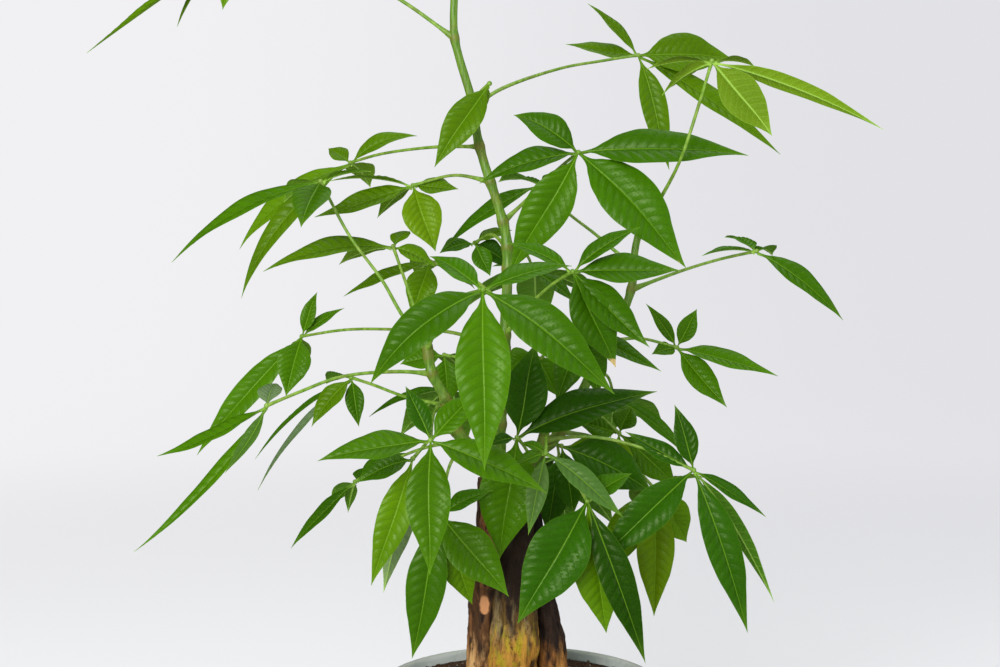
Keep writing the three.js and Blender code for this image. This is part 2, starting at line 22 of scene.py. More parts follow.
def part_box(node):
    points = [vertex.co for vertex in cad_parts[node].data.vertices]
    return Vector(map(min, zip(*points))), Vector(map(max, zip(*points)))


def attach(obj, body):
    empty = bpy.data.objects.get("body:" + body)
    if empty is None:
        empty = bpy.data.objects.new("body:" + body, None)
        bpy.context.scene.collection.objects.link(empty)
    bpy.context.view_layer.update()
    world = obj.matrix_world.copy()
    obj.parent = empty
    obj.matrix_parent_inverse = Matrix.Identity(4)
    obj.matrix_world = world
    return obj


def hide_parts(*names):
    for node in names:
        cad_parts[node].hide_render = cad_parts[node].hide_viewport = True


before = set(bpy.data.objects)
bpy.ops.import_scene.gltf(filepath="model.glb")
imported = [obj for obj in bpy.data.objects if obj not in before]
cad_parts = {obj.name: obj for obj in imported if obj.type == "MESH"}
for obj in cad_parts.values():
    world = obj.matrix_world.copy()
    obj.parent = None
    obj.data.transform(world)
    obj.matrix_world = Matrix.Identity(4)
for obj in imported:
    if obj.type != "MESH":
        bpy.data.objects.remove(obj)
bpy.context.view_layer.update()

MM = 0.001
BODY = "root"
ROUTE_STEPS = 24
Colour = tuple[float, ...]
Triple = tuple[float, float, float]
Line = dict[str, np.ndarray]
log = logging.getLogger("money_tree")


def shown(red: float, green: float, blue: float) -> tuple[float, float, float, float]:
    """The linear colour of a displayed one.

    Args:
        red: Displayed red, 0 to 255.
        green: Displayed green, 0 to 255.
        blue: Displayed blue, 0 to 255.

    Returns:
        Linear red, green, blue and an alpha of 1.
    """
    linear = []
    for channel in (red, green, blue):
        share = channel / 255
        low = share <= 0.04045
        linear.append(share / 12.92 if low else ((share + 0.055) / 1.055) ** 2.4)
    return (*linear, 1.0)


def put(name: str, data: Any) -> bpy.types.Object:
    """A new object in the scene.

    Args:
        name: Its name.
        data: Its mesh, light or camera.

    Returns:
        The object, at the origin.
    """
    made = bpy.data.objects.new(name, data)
    bpy.context.scene.collection.objects.link(made)
    return made


class NodeGraph:
    """A node tree being built, whose sockets are fed with values or with other sockets."""

    def __init__(self, tree: bpy.types.NodeTree) -> None:
        """Takes the tree that the nodes go into."""
        self.tree = tree

    def feed(self, socket: bpy.types.NodeSocket, value: Any) -> None:
        """Links a socket to another one, or sets its value.

        Args:
            socket: The input to feed.
            value: An output socket, a plain value, or None to leave the input as it is.
        """
        if isinstance(value, bpy.types.NodeSocket):
            self.tree.links.new(value, socket)
        elif value is not None:
            socket.default_value = value

    def add(self, kind: str, feeds: Mapping[str | int, Any] | None = None, **settings: Any) -> Any:
        """Adds one node.

        Args:
            kind: The node's type.
            feeds: What its inputs take, by name or number.
            **settings: The node's own properties.

        Returns:
            The new node.
        """
        node = self.tree.nodes.new(kind)
        for name, value in settings.items():
            setattr(node, name, value)
        for name, value in (feeds or {}).items():
            self.feed(node.inputs[name], value)
        return node

    def math(self, operation: str, *values: Any) -> bpy.types.NodeSocket:
        """The result of one sum on numbers.

        Args:
            operation: The sum, as the Math node names it.
            *values: Its inputs in order.

        Returns:
            The result's socket.
        """
        return self.add("ShaderNodeMath", dict(enumerate(values)), operation=operation).outputs[0]

    def vector(self, operation: str, *values: Any) -> bpy.types.NodeSocket:
        """The result of one sum on vectors.

        Args:
            operation: The sum, as the Vector Math node names it.
            *values: Its inputs in order. SCALE takes a vector and a number.

        Returns:
            The result's socket, a number for a length or a dot product.
        """
        feeds: dict[str | int, Any] = dict(enumerate(values))
        if operation == "SCALE":
            feeds = {0: values[0], "Scale": values[1]}
        node = self.add("ShaderNodeVectorMath", feeds, operation=operation)
        return node.outputs["Value" if operation in ("DOT_PRODUCT", "LENGTH") else "Vector"]

    def span(self, value: Any, low: Any, high: Any, start: Any = 0.0, end: Any = 1.0) -> Any:
        """A number eased from one range to another, and held at its ends.

        Args:
            value: The number.
            low: Where it starts to change.
            high: Where it stops.
            start: The result at low.
            end: The result at high.

        Returns:
            The result's socket.
        """
        feeds = {0: value, 1: low, 2: high, 3: start, 4: end}
        return self.add("ShaderNodeMapRange", feeds, interpolation_type="SMOOTHSTEP").outputs[0]

    def noise(self, place: Any, scale: Any, detail: float = 2.0, rough: float = 0.5) -> Any:
        """Cloudy noise, about 0 to 1.

        Args:
            place: Where it is read.
            scale: How many clouds there are in a metre, about.
            detail: How many finer layers it has.
            rough: How strong the finer layers are.

        Returns:
            The noise's socket.
        """
        feeds = {"Vector": place, "Scale": scale, "Detail": detail, "Roughness": rough}
        return self.add("ShaderNodeTexNoise", feeds).outputs[0]


class GeometryTree(NodeGraph):
    """A Geometry Nodes tree with named inputs, which ends in plain, realized meshes."""

    def __init__(self, name: str) -> None:
        """Starts a tree that takes and gives geometry.

        Args:
            name: The tree's name.
        """
        super().__init__(bpy.data.node_groups.new(name, "GeometryNodeTree"))
        self.identifiers: dict[str, str] = {}
        for side in ("INPUT", "OUTPUT"):
            self.tree.interface.new_socket("Geometry", in_out=side, socket_type="NodeSocketGeometry")
        self.entry = self.tree.nodes.new("NodeGroupInput")
        self.exit = self.tree.nodes.new("NodeGroupOutput")

    def value(self, name: str, kind: str = "Float") -> bpy.types.NodeSocket:
        """A named input of the tree.

        Args:
            name: The input's name.
            kind: Its type, such as Float, Int or Material.

        Returns:
            The socket that gives its value inside the tree.
        """
        socket = self.tree.interface.new_socket(name, in_out="INPUT", socket_type="NodeSocket" + kind)
        self.identifiers[name] = socket.identifier
        return self.entry.outputs[name]

    def named(self, name: str, kind: str = "FLOAT") -> bpy.types.NodeSocket:
        """An attribute that the geometry carries."""
        return self.add("GeometryNodeInputNamedAttribute", {"Name": name}, data_type=kind).outputs[0]

    def capture(self, geometry: Any, fields: Mapping[str, tuple[str, Any]]) -> Any:
        """Keeps values of a geometry's points for use after the points have moved.

        Args:
            geometry: The geometry.
            fields: For each name its type and the value to keep.

        Returns:
            The node, with the geometry and each kept value as its outputs.
        """
        node = self.add("GeometryNodeCaptureAttribute", {"Geometry": geometry})
        for name, (kind, value) in fields.items():
            node.capture_items.new(kind, name)
            self.feed(node.inputs[name], value)
        return node

    def store(self, geometry: Any, values: Mapping[str, Any], domain: str = "POINT") -> Any:
        """Writes numbers on a geometry as named attributes, which its finish reads.

        Args:
            geometry: The geometry.
            values: For each attribute its value.
            domain: What carries them.

        Returns:
            The geometry's socket.
        """
        for name, value in values.items():
            feeds = {"Geometry": geometry, "Name": name, "Value": value}
            node = self.add("GeometryNodeStoreNamedAttribute", feeds, data_type="FLOAT", domain=domain)
            geometry = node.outputs[0]
        return geometry

    def tube(self, line: Any, sides: Any, girth: Any) -> tuple[Any, Any, Any]:
        """A closed tube along a curve, with what its points need to be moved later.

        Args:
            line: The curve.
            sides: Points round the tube.
            girth: The tube's radius along the curve.

        Returns:
            The tube's geometry, the node that kept values along the curve (Centre, Forward, Along
            and Length), and the share of the way round.
        """
        share = self.add("GeometryNodeSplineParameter").outputs["Factor"]
        kept = self.capture(
            line,
            {
                "Centre": ("VECTOR", self.add("GeometryNodeInputPosition").outputs[0]),
                "Forward": ("VECTOR", self.add("GeometryNodeInputTangent").outputs[0]),
                "Along": ("FLOAT", share),
                "Length": ("FLOAT", self.add("GeometryNodeSplineLength").outputs["Length"]),
            },
        )
        ring = self.add("GeometryNodeCurvePrimitiveCircle", {"Resolution": sides, "Radius": 1.0})
        rounds = self.capture(ring.outputs[0], {"Round": ("FLOAT", share)})
        feeds = {"Curve": kept.outputs[0], "Profile Curve": rounds.outputs[0], "Fill Caps": True}
        body = self.add("GeometryNodeCurveToMesh", {**feeds, "Scale": girth})
        return body.outputs[0], kept, rounds.outputs["Round"]

    def dress(self, geometry: Any, material: Any, where: Any = None) -> Any:
        """Gives a geometry a material.

        Args:
            geometry: The geometry.
            material: The material.
            where: The faces that take it, or None for all of them.

        Returns:
            The geometry's socket.
        """
        feeds = {"Geometry": geometry, "Selection": where, "Material": material}
        return self.add("GeometryNodeSetMaterial", feeds).outputs[0]

    def finish(self, *parts: Any) -> None:
        """Joins the parts, makes real meshes of what is instanced, and ends the tree.

        Args:
            *parts: The geometries that the tree gives.
        """
        joined = self.add("GeometryNodeJoinGeometry")
        for part in parts:
            self.feed(joined.inputs[0], part)
        real = self.add("GeometryNodeRealizeInstances", {"Geometry": joined.outputs[0]})
        smooth = self.add("GeometryNodeSetShadeSmooth", {"Geometry": real.outputs[0]})
        self.feed(self.exit.inputs[0], smooth.outputs[0])

    def grow(
        self, name: str, seed: bpy.types.Mesh, values: Mapping[str, Any], keep: Sequence[str]
    ) -> bpy.types.Object:
        """Runs the tree on a mesh and makes a plain object of the result.

        Args:
            name: The new object's name.
            seed: The mesh that the tree starts from.
            values: The tree's inputs by name.
            keep: The attributes that the finish reads.

        Returns:
            The object, with no modifier left on it.
        """
        piece = put(name, seed)
        modifier = piece.modifiers.new(self.tree.name, "NODES")
        modifier.node_group = self.tree
        for label, value in values.items():
            modifier[self.identifiers[label]] = value
        graph = bpy.context.evaluated_depsgraph_get()
        grown = bpy.data.meshes.new_from_object(
            piece.evaluated_get(graph), preserve_all_data_layers=True, depsgraph=graph
        )
        piece.modifiers.remove(modifier)
        piece.data = grown
        grown.name = name
        bpy.data.meshes.remove(seed)
        if grown.materials and grown.materials[0] is None:
            grown.materials.pop(index=0)
        needed = {*keep, "material_index", "sharp_edge", "sharp_face"}
        for name in [attribute.name for attribute in grown.attributes]:
            attribute = grown.attributes[name]
            if not (name in needed or attribute.is_internal or attribute.is_required):
                grown.attributes.remove(attribute)
        return piece


class ShaderGraph(NodeGraph):
    """A material's nodes round its one Principled shader."""

    def __init__(self, material: bpy.types.Material) -> None:
        """Starts from the material's own shader.

        Args:
            material: The material to build.
        """
        material.use_nodes = True
        super().__init__(material.node_tree)
        self.shader = self.tree.nodes["Principled BSDF"]

    def set(self, **values: Any) -> None:
        """Feeds the shader's inputs.

        Args:
            **values: For each input, named with _ for each space, what it takes.
        """
        for name, value in values.items():
            self.feed(self.shader.inputs[name.replace("_", " ")], value)

    def attribute(self, name: str) -> bpy.types.NodeSocket:
        """A number that the mesh carries."""
        return self.add("ShaderNodeAttribute", attribute_name=name).outputs["Fac"]

    def place(self, stretch: Triple = (1.0, 1.0, 1.0)) -> Any:
        """Object coordinates.

        Args:
            stretch: What they are scaled by along each axis.

        Returns:
            The coordinates' socket.
        """
        coordinates = self.add("ShaderNodeTexCoord").outputs["Object"]
        return self.add("ShaderNodeMapping", {"Vector": coordinates, "Scale": stretch}).outputs[0]

    def cells(self, place: Any, scale: float, feature: str = "F1") -> Any:
        """A pattern of irregular cells.

        Args:
            place: Where it is read.
            scale: How many cells there are in a metre, about.
            feature: What the distance leads to, a cell's centre or its border.

        Returns:
            The distance's socket.
        """
        feeds = {"Vector": place, "Scale": scale}
        return self.add("ShaderNodeTexVoronoi", feeds, feature=feature).outputs["Distance"]

    def mix(self, share: Any, first: Any, second: Any, blend: str = "MIX") -> Any:
        """Two colours mixed.

        Args:
            share: The second colour's share.
            first: The first colour.
            second: The second colour.
            blend: How they mix, as the Mix node names it.

        Returns:
            The mixed colour's socket.
        """
        node = self.add("ShaderNodeMix", data_type="RGBA", blend_type=blend)
        self.feed(node.inputs[0], share)
        self.feed(node.inputs[6], first)
        self.feed(node.inputs[7], second)
        return node.outputs[2]

    def ramp(self, value: Any, stops: Sequence[tuple[float, Colour]]) -> Any:
        """A colour for each value.

        Args:
            value: The value.
            stops: Values in rising order, each with its colour.

        Returns:
            The colour's socket.
        """
        node = self.add("ShaderNodeValToRGB", {"Fac": value})
        elements = node.color_ramp.elements
        while len(elements) < len(stops):
            elements.new(1.0)
        for element, (position, colour) in zip(elements, stops, strict=True):
            element.position = position
            element.color = colour
        return node.outputs[0]

    def bump(self, height: Any, depth: float, strength: float = 1.0) -> None:
        """Adds fine relief to what is there.

        Args:
            height: How high the surface stands, 0 to 1.
            depth: What a height of 1 is, in metres.
            strength: How plainly it shows.
        """
        feeds = {"Strength": strength, "Distance": depth, "Height": height}
        before = self.shader.inputs["Normal"]
        if before.is_linked:
            feeds["Normal"] = before.links[0].from_socket
        self.feed(before, self.add("ShaderNodeBump", feeds).outputs[0])


@dataclass(frozen=True)
class Finish:
    """A surface's finish, whose material is made once."""

    name: str
    slot: str

    def paint(self, graph: ShaderGraph) -> None:
        """Builds the finish's own nodes.

        Args:
            graph: The material's nodes.
        """
        raise NotImplementedError

    def material(self) -> bpy.types.Material:
        """The finish's material, made on first use.

        Returns:
            The material.
        """
        made = bpy.data.materials.get(self.name)
        if made is None:
            made = bpy.data.materials.new(self.name)
            self.paint(ShaderGraph(made))
        return made


@dataclass(frozen=True)
class LeafFace(Finish):
    """One face of a leaf blade: its green by age with painted light shining through, a painted grey sheen,
    midrib, side veins with painted shade in the upper face's grooves, net, margin, a tip paler partly by
    painted sheen, and dry tip.
    """

    gloss_tint: ClassVar[Colour] = (0.85, 1.0, 0.55, 1.0)
    vein_depth: ClassVar[float] = 0.0002
    cloud_scale: ClassVar[float] = 38.0
    net_scale: ClassVar[float] = 620.0
    ragged_scale: ClassVar[float] = 260.0
    grain_scale: ClassVar[float] = 210.0

    greens: tuple[tuple[float, Colour], ...]
    rib: Colour
    margin_and_tip_sheen: Colour
    dry: Colour
    grey: Colour
    vein: Colour
    rib_width: float
    rib_share: float
    vein_reach: float
    vein_share: float
    net_share: float
    roughness: float
    shine: float
    net_depth: float

    def paint(self, graph: ShaderGraph) -> None:
        """Builds the leaf's nodes from the attributes that its mesh carries.

        Args:
            graph: The material's nodes.
        """
        place = graph.place()
        # The green by age, with painted light: the bright end is the glow of a leaflet lit through from
        # behind, and some leaflets are set brighter or darker to paint light or shade.
        green = graph.ramp(graph.attribute("age"), self.greens)
        cloud = graph.noise(place, self.cloud_scale, 3.0)
        green = graph.mix(graph.span(cloud, 0.35, 0.75, 0.0, 0.22), green, self.rib, "MULTIPLY")
        shade = graph.span(graph.attribute("shade"), 0.0, 1.0, 0.84, 1.1)
        tint = graph.add("ShaderNodeCombineColor", dict.fromkeys(range(3), shade)).outputs[0]
        green = graph.mix(1.0, green, tint, "MULTIPLY")
        # Painted sheen: a grey share, the look of a glossy leaflet reflecting a bright window.
        green = graph.mix(graph.attribute("grey"), green, self.grey)

        beside = graph.math("PINGPONG", graph.attribute("vein"), 0.5)
        vein = graph.span(beside, 0.0, self.vein_reach, 1.0, 0.0)
        # On the upper face the vein colour is painted shade in the grooves along the side veins; on the
        # under face it is the veins' own pale colour.
        green = graph.mix(graph.math("MULTIPLY", vein, self.vein_share), green, self.vein)
        net = graph.cells(place, self.net_scale, "DISTANCE_TO_EDGE")
        net_line = graph.span(net, 0.02, 0.14, 1.0, 0.0)
        green = graph.mix(graph.math("MULTIPLY", net_line, self.net_share), green, self.rib)

        along = graph.attribute("along")
        width = graph.span(along, 0.0, 1.0, self.rib_width, self.rib_width * 0.35)
        off = graph.math("DIVIDE", graph.attribute("off"), width)
        midrib = graph.span(off, 0.3, 1.2, self.rib_share, 0.0)
        green = graph.mix(midrib, green, self.rib)
        rim = graph.span(graph.attribute("rim"), 0.0, 0.5, 0.25, 0.0)
        green = graph.mix(rim, green, self.margin_and_tip_sheen)
        # A paler tip: partly the tip's own paler colour, partly painted sheen where the bending tip catches
        # the light.
        green = graph.mix(graph.span(along, 0.76, 1.0, 0.0, 0.24), green, self.margin_and_tip_sheen)

        ragged = graph.span(graph.noise(place, self.ragged_scale), 0.3, 0.7, -0.05, 0.05)
        reach = graph.math("ADD", along, ragged)
        start = graph.math("SUBTRACT", 1.0, graph.attribute("wilt"))
        dried = graph.math("MULTIPLY", graph.math("SUBTRACT", reach, start), 22.0)
        dried = graph.math("MULTIPLY", dried, graph.math("GREATER_THAN", graph.attribute("wilt"), 0.001))
        green = graph.mix(graph.span(dried, 0.0, 1.0), green, self.dry)

        soft = graph.noise(place, self.grain_scale, 2.0)
        gloss = graph.span(soft, 0.3, 0.7, self.roughness - 0.04, self.roughness + 0.06)
        gloss = graph.math("MULTIPLY_ADD", vein, 0.08, gloss)
        graph.set(Base_Color=green, Roughness=gloss)
        graph.set(Specular_IOR_Level=self.shine, Specular_Tint=self.gloss_tint)
        graph.bump(graph.math("MULTIPLY_ADD", net_line, -0.12, soft), self.net_depth, 0.2)
        graph.bump(graph.math("SUBTRACT", 1.0, vein), self.vein_depth, 0.45)


@dataclass(frozen=True)
class GreenStem(Finish):
    """A green shoot or leaf stalk: streaked along its length, brown at its nodes and ends."""

    blotch_scale: ClassVar[float] = 70.0
    streak_depth: ClassVar[float] = 0.00018

    green: Colour
    pale: Colour
    brown: Colour
    roughness: float
    grain: Triple

    def paint(self, graph: ShaderGraph) -> None:
        """Builds the stem's nodes.

        Args:
            graph: The material's nodes.
        """
        streak = graph.noise(graph.place(self.grain), 1.0, 3.0)
        blotch = graph.noise(graph.place(), self.blotch_scale, 2.0)
        colour = graph.mix(graph.span(streak, 0.35, 0.68), self.green, self.pale)
        colour = graph.mix(graph.span(blotch, 0.45, 0.7, 0.0, 0.24), colour, self.brown)
        node = graph.math("ADD", graph.attribute("node"), graph.math("MULTIPLY_ADD", streak, 0.5, -0.25))
        colour = graph.mix(graph.span(node, 0.4, 1.1, 0.0, 0.45), colour, self.brown)
        rough = graph.span(blotch, 0.3, 0.7, self.roughness - 0.06, self.roughness + 0.1)
        graph.set(Base_Color=colour, Roughness=rough, Coat_Weight=0.08, Coat_Roughness=0.3)
        graph.bump(streak, self.streak_depth, 0.6)


@dataclass(frozen=True)
class BarkZone:
    """The colours of one stretch of bark: its ground, long streaks, and patches where it differs."""

    ground: Colour
    streak: Colour
    patch: Colour
    patch_share: float


@dataclass(frozen=True)
class Peel:
    """A spot where bark has peeled: its centre, and its radius across, in metres."""

    centre: Triple
    radius: float
    colour: Colour


@dataclass(frozen=True)
class Bark(Finish):
    """A trunk stem's bark: one zone near the soil, another above it, and painted shade under the crown, in
    the creases between stems and in its furrows.
    """

    shade_reach: ClassVar[float] = 0.011
    fibre_scale: ClassVar[float] = 480.0
    fibre_depth: ClassVar[float] = 0.0012
    speck_scale: ClassVar[float] = 620.0
    speck_depth: ClassVar[float] = 0.0005
    band_scale: ClassVar[float] = 170.0
    patch_scale: ClassVar[float] = 120.0
    ragged_scale: ClassVar[float] = 300.0

    low: BarkZone
    high: BarkZone
    # The dark colour of the bark's fibres and specks, also used for its painted shade.
    seam_and_shade: Colour
    change_from: float
    change_to: float
    shade_from: float
    shade_to: float
    shift: Triple
    peel: Peel | None = None

    def zone(self, graph: ShaderGraph, zone: BarkZone, moved: Any, band: Any) -> Any:
        """One zone's colours.

        Args:
            graph: The material's nodes.
            zone: The zone.
            moved: The place that its patches follow.
            band: The streaks' noise.

        Returns:
            The colour's socket.
        """
        colour = graph.mix(graph.span(band, 0.34, 0.66), zone.ground, zone.streak)
        tall = graph.add("ShaderNodeMapping", {"Vector": moved, "Scale": (1.0, 1.0, 0.38)}).outputs[0]
        patch = graph.noise(tall, self.patch_scale, 4.0, 0.55)
        edge = 0.62 - 0.3 * zone.patch_share
        return graph.mix(graph.span(patch, edge, edge + 0.13, 0.0, 0.85), colour, zone.patch)

    def peeled(self, graph: ShaderGraph, colour: Any, where: Any) -> Any:
        """The bark with the peeled spot laid over it.

        Args:
            graph: The material's nodes.
            colour: The bark's colour.
            where: Object coordinates.

        Returns:
            The colour's socket.
        """
        if self.peel is None:
            return colour
        away = graph.vector("MULTIPLY", graph.vector("SUBTRACT", where, self.peel.centre), (1.0, 1.0, 0.5))
        ragged = graph.span(graph.noise(where, self.ragged_scale, 1.0), 0.2, 0.8, -0.0004, 0.0004)
        away = graph.math("ADD", graph.vector("LENGTH", away), ragged)
        bare = graph.span(away, self.peel.radius * 0.7, self.peel.radius * 1.1, 0.92, 0.0)
        return graph.mix(bare, colour, self.peel.colour)

    def paint(self, graph: ShaderGraph) -> None:
        """Builds both zones, fine specks and relief, and paints shade into the creases between stems, the
        furrows and the top under the crown.

        Args:
            graph: The material's nodes.
        """
        where = graph.add("ShaderNodeTexCoord").outputs["Object"]
        moved = graph.vector("ADD", where, self.shift)
        upright = graph.add("ShaderNodeMapping", {"Vector": moved, "Scale": (1.0, 1.0, 0.24)}).outputs[0]
        fibre = graph.noise(upright, self.fibre_scale, 5.0, 0.62)
        band = graph.noise(upright, self.band_scale, 4.0, 0.6)
        tall = graph.vector("MULTIPLY", moved, (1.0, 1.0, 0.6))
        speck = graph.noise(tall, self.speck_scale, 4.0, 0.6)
        low = self.zone(graph, self.low, moved, band)
        high = self.zone(graph, self.high, graph.vector("ADD", moved, (1.7, 0.4, 2.3)), band)
        height = graph.add("ShaderNodeSeparateXYZ", {0: where}).outputs[2]
        height = graph.math("MULTIPLY_ADD", graph.math("SUBTRACT", band, 0.5), 0.05, height)
        colour = graph.mix(graph.span(height, self.change_from, self.change_to), low, high)
        colour = graph.mix(graph.span(fibre, 0.48, 0.74, 0.0, 0.6), colour, self.seam_and_shade)
        colour = graph.mix(graph.span(speck, 0.55, 0.7, 0.0, 0.7), colour, self.seam_and_shade)
        relief = graph.attribute("relief")
        # Painted shade: darker in the low furrows between the bark's ridges.
        colour = graph.mix(graph.span(relief, -0.6, -0.1, 0.9, 0.0), colour, self.seam_and_shade)
        colour = self.peeled(graph, colour, where)
        # Painted shade: the bark darkens where other surfaces are close, as in the creases between stems
        # and at the soil.
        feeds = {"Distance": self.shade_reach}
        crease_shade = graph.add("ShaderNodeAmbientOcclusion", feeds, samples=32).outputs["AO"]
        colour = graph.mix(graph.span(crease_shade, 0.15, 0.6, 0.85, 0.0), colour, self.seam_and_shade)
        # Painted shade: above the set height the bark turns near-black, the shade under the crown.
        dark = graph.span(height, self.shade_from, self.shade_to, 0.0, 0.92)
        colour = graph.mix(dark, colour, self.seam_and_shade)
        graph.set(Base_Color=colour, Roughness=graph.span(fibre, 0.3, 0.7, 0.62, 0.92))
        graph.set(Specular_IOR_Level=0.3)
        graph.bump(fibre, self.fibre_depth, 0.9)
        graph.bump(speck, self.speck_depth, 0.6)


@dataclass(frozen=True)
class SawnWood(Finish):
    """The pale, weathered wood of a stem's sawn top."""

    grain_scale: ClassVar[float] = 600.0
    grain_depth: ClassVar[float] = 0.0004
    ring_scale: ClassVar[float] = 180.0

    wood: Colour
    ring: Colour

    def paint(self, graph: ShaderGraph) -> None:
        """Builds growth rings and saw marks.

        Args:
            graph: The material's nodes.
        """
        grain = graph.noise(graph.place(), self.grain_scale, 4.0)
        feeds = {"Vector": graph.place(), "Scale": self.ring_scale, "Distortion": 3.0}
        rings = graph.add("ShaderNodeTexWave", feeds, wave_type="RINGS")
        colour = graph.mix(rings.outputs["Fac"], self.wood, self.ring)
        colour = graph.mix(graph.span(grain, 0.4, 0.7, 0.0, 0.5), colour, self.ring)
        graph.set(Base_Color=colour, Roughness=0.85)
        graph.bump(grain, self.grain_depth, 0.6)


@dataclass(frozen=True)
class Glaze(Finish):
    """A pale, softly mottled glaze that breaks thin at edges, over a bare clay foot."""

    cloud_scale: ClassVar[float] = 16.0
    cloud_depth: ClassVar[float] = 0.0006
    mottle_scale: ClassVar[float] = 85.0
    speck_scale: ClassVar[float] = 260.0
    grit_scale: ClassVar[float] = 1500.0
    dimple_scale: ClassVar[float] = 420.0
    dimple_depth: ClassVar[float] = 0.00012

    pale: Colour
    deep: Colour
    warm: Colour
    clay: Colour
    foot: float

    def paint(self, graph: ShaderGraph) -> None:
        """Builds the glaze's mottling, specks and bare foot.

        Args:
            graph: The material's nodes.
        """
        place = graph.place((1.0, 1.0, 0.7))
        cloud = graph.noise(place, self.cloud_scale, 4.0, 0.6)
        mottle = graph.noise(place, self.mottle_scale, 3.0)
        speck = graph.cells(graph.place(), self.speck_scale)
        colour = graph.mix(graph.span(cloud, 0.35, 0.68), self.pale, self.deep)
        colour = graph.mix(graph.span(mottle, 0.5, 0.75, 0.0, 0.45), colour, self.warm)
        colour = graph.mix(graph.span(speck, 0.05, 0.14, 0.4, 0.0), colour, self.deep)
        thin = graph.attribute("thin")
        colour = graph.mix(graph.math("MULTIPLY", thin, 0.55), colour, self.warm)
        height = graph.add("ShaderNodeSeparateXYZ", {0: graph.place()}).outputs[2]
        edge = graph.math("MULTIPLY_ADD", mottle, 0.0012, height)
        bare = graph.span(edge, self.foot, self.foot + 0.0006, 1.0, 0.0)
        grit = graph.noise(graph.place(), self.grit_scale, 3.0)
        clay = graph.mix(grit, self.clay, self.warm)
        colour = graph.mix(bare, colour, clay)
        smooth = graph.span(mottle, 0.3, 0.7, 0.2, 0.32)
        rough = graph.math("MULTIPLY_ADD", bare, 0.6, smooth)
        graph.set(Base_Color=colour, Roughness=rough, Coat_Weight=0.25, Coat_Roughness=0.12)
        graph.bump(cloud, self.cloud_depth, 0.3)
        dimples = graph.noise(graph.place(), self.dimple_scale, 2.0)
        graph.bump(dimples, self.dimple_depth, 0.35)


@dataclass(frozen=True)
class Soil(Finish):
    """Dark potting mix, each crumb with a shade of its own."""

    grit_scale: ClassVar[float] = 700.0
    grit_depth: ClassVar[float] = 0.0011
    patch_scale: ClassVar[float] = 90.0

    dark: Colour
    brown: Colour
    grey: Colour

    def paint(self, graph: ShaderGraph) -> None:
        """Builds the mix's colours and its gritty surface.

        Args:
            graph: The material's nodes.
        """
        grit = graph.noise(graph.place(), self.grit_scale, 5.0, 0.7)
        patch = graph.noise(graph.place(), self.patch_scale, 3.0)
        colour = graph.mix(graph.span(grit, 0.35, 0.7), self.dark, self.brown)
        shade = graph.math("ADD", graph.attribute("shade"), graph.span(patch, 0.3, 0.7, -0.12, 0.12))
        colour = graph.mix(graph.span(shade, 0.72, 0.95, 0.0, 0.85), colour, self.grey)
        graph.set(Base_Color=colour, Roughness=0.93, Specular_IOR_Level=0.25)
        graph.bump(grit, self.grit_depth, 0.9)


@dataclass(frozen=True)
class PaintedSweep(Finish):
    """The studio's plain matt paint, which turns into a softly lit screen further out.

    Both are a little darker on the right, away from the window.
    """

    colour: Colour
    far_colour: Colour
    screen: Colour
    far_screen: Colour
    fade: float
    screen_from: float
    screen_to: float

    def paint(self, graph: ShaderGraph) -> None:
        """Builds matt paint in the middle and a glowing screen round it.

        Args:
            graph: The material's nodes.
        """
        off = graph.vector("LENGTH", graph.place((1.0, 1.0, 0.0)))
        glow = graph.span(off, self.screen_from, self.screen_to)
        across = graph.add("ShaderNodeSeparateXYZ", {0: graph.place()}).outputs[0]
        away = graph.span(across, -self.fade, self.fade)
        black = (0.0, 0.0, 0.0, 1.0)
        colour = graph.mix(glow, graph.mix(away, self.colour, self.far_colour), black)
        screen = graph.mix(away, self.screen, self.far_screen)
        graph.set(Base_Color=colour, Roughness=0.9, Specular_IOR_Level=0.0)
        graph.set(Emission_Color=graph.mix(glow, black, screen), Emission_Strength=1.0)


LEAF_UPPER = LeafFace(
    name="leaf_upper_face",
    slot="leaf",
    # The lightest greens are painted light shining through the leaflet.
    greens=(
        (0.0, shown(22, 56, 3)),
        (0.2, shown(38, 82, 3)),
        (0.4, shown(57, 103, 2)),
        (0.55, shown(64, 109, 2)),
        (0.75, shown(84, 122, 3)),
        (1.0, shown(108, 140, 8)),
    ),
    rib=shown(112, 156, 34),
    margin_and_tip_sheen=shown(104, 148, 34),
    dry=shown(206, 180, 118),
    grey=shown(122, 138, 108),
    # Painted shade: the dark green of the grooves along the side veins.
    vein=shown(30, 70, 2),
    rib_width=0.5,
    rib_share=0.55,
    vein_reach=0.12,
    vein_share=0.2,
    net_share=0.05,
    roughness=0.32,
    shine=0.17,
    net_depth=0.00002,
)
LEAF_UNDER = LeafFace(
    name="leaf_under_face",
    slot="leaf",
    # The lightest greens are painted light shining through the leaflet.
    greens=(
        (0.0, shown(46, 90, 16)),
        (0.3, shown(66, 112, 14)),
        (0.5, shown(84, 128, 14)),
        (0.75, shown(94, 130, 14)),
        (1.0, shown(112, 142, 18)),
    ),
    rib=shown(156, 198, 84),
    margin_and_tip_sheen=shown(150, 192, 80),
    dry=shown(196, 168, 104),
    grey=shown(136, 152, 116),
    vein=shown(150, 190, 76),
    rib_width=0.9,
    rib_share=0.7,
    vein_reach=0.07,
    vein_share=0.26,
    net_share=0.08,
    roughness=0.55,
    shine=0.15,
    net_depth=0.00004,
)
STALK = GreenStem(
    name="leaf_stalk",
    slot="green_stem",
    green=shown(98, 140, 30),
    pale=shown(132, 168, 60),
    brown=shown(116, 104, 40),
    roughness=0.42,
    grain=(240.0, 240.0, 240.0),
)
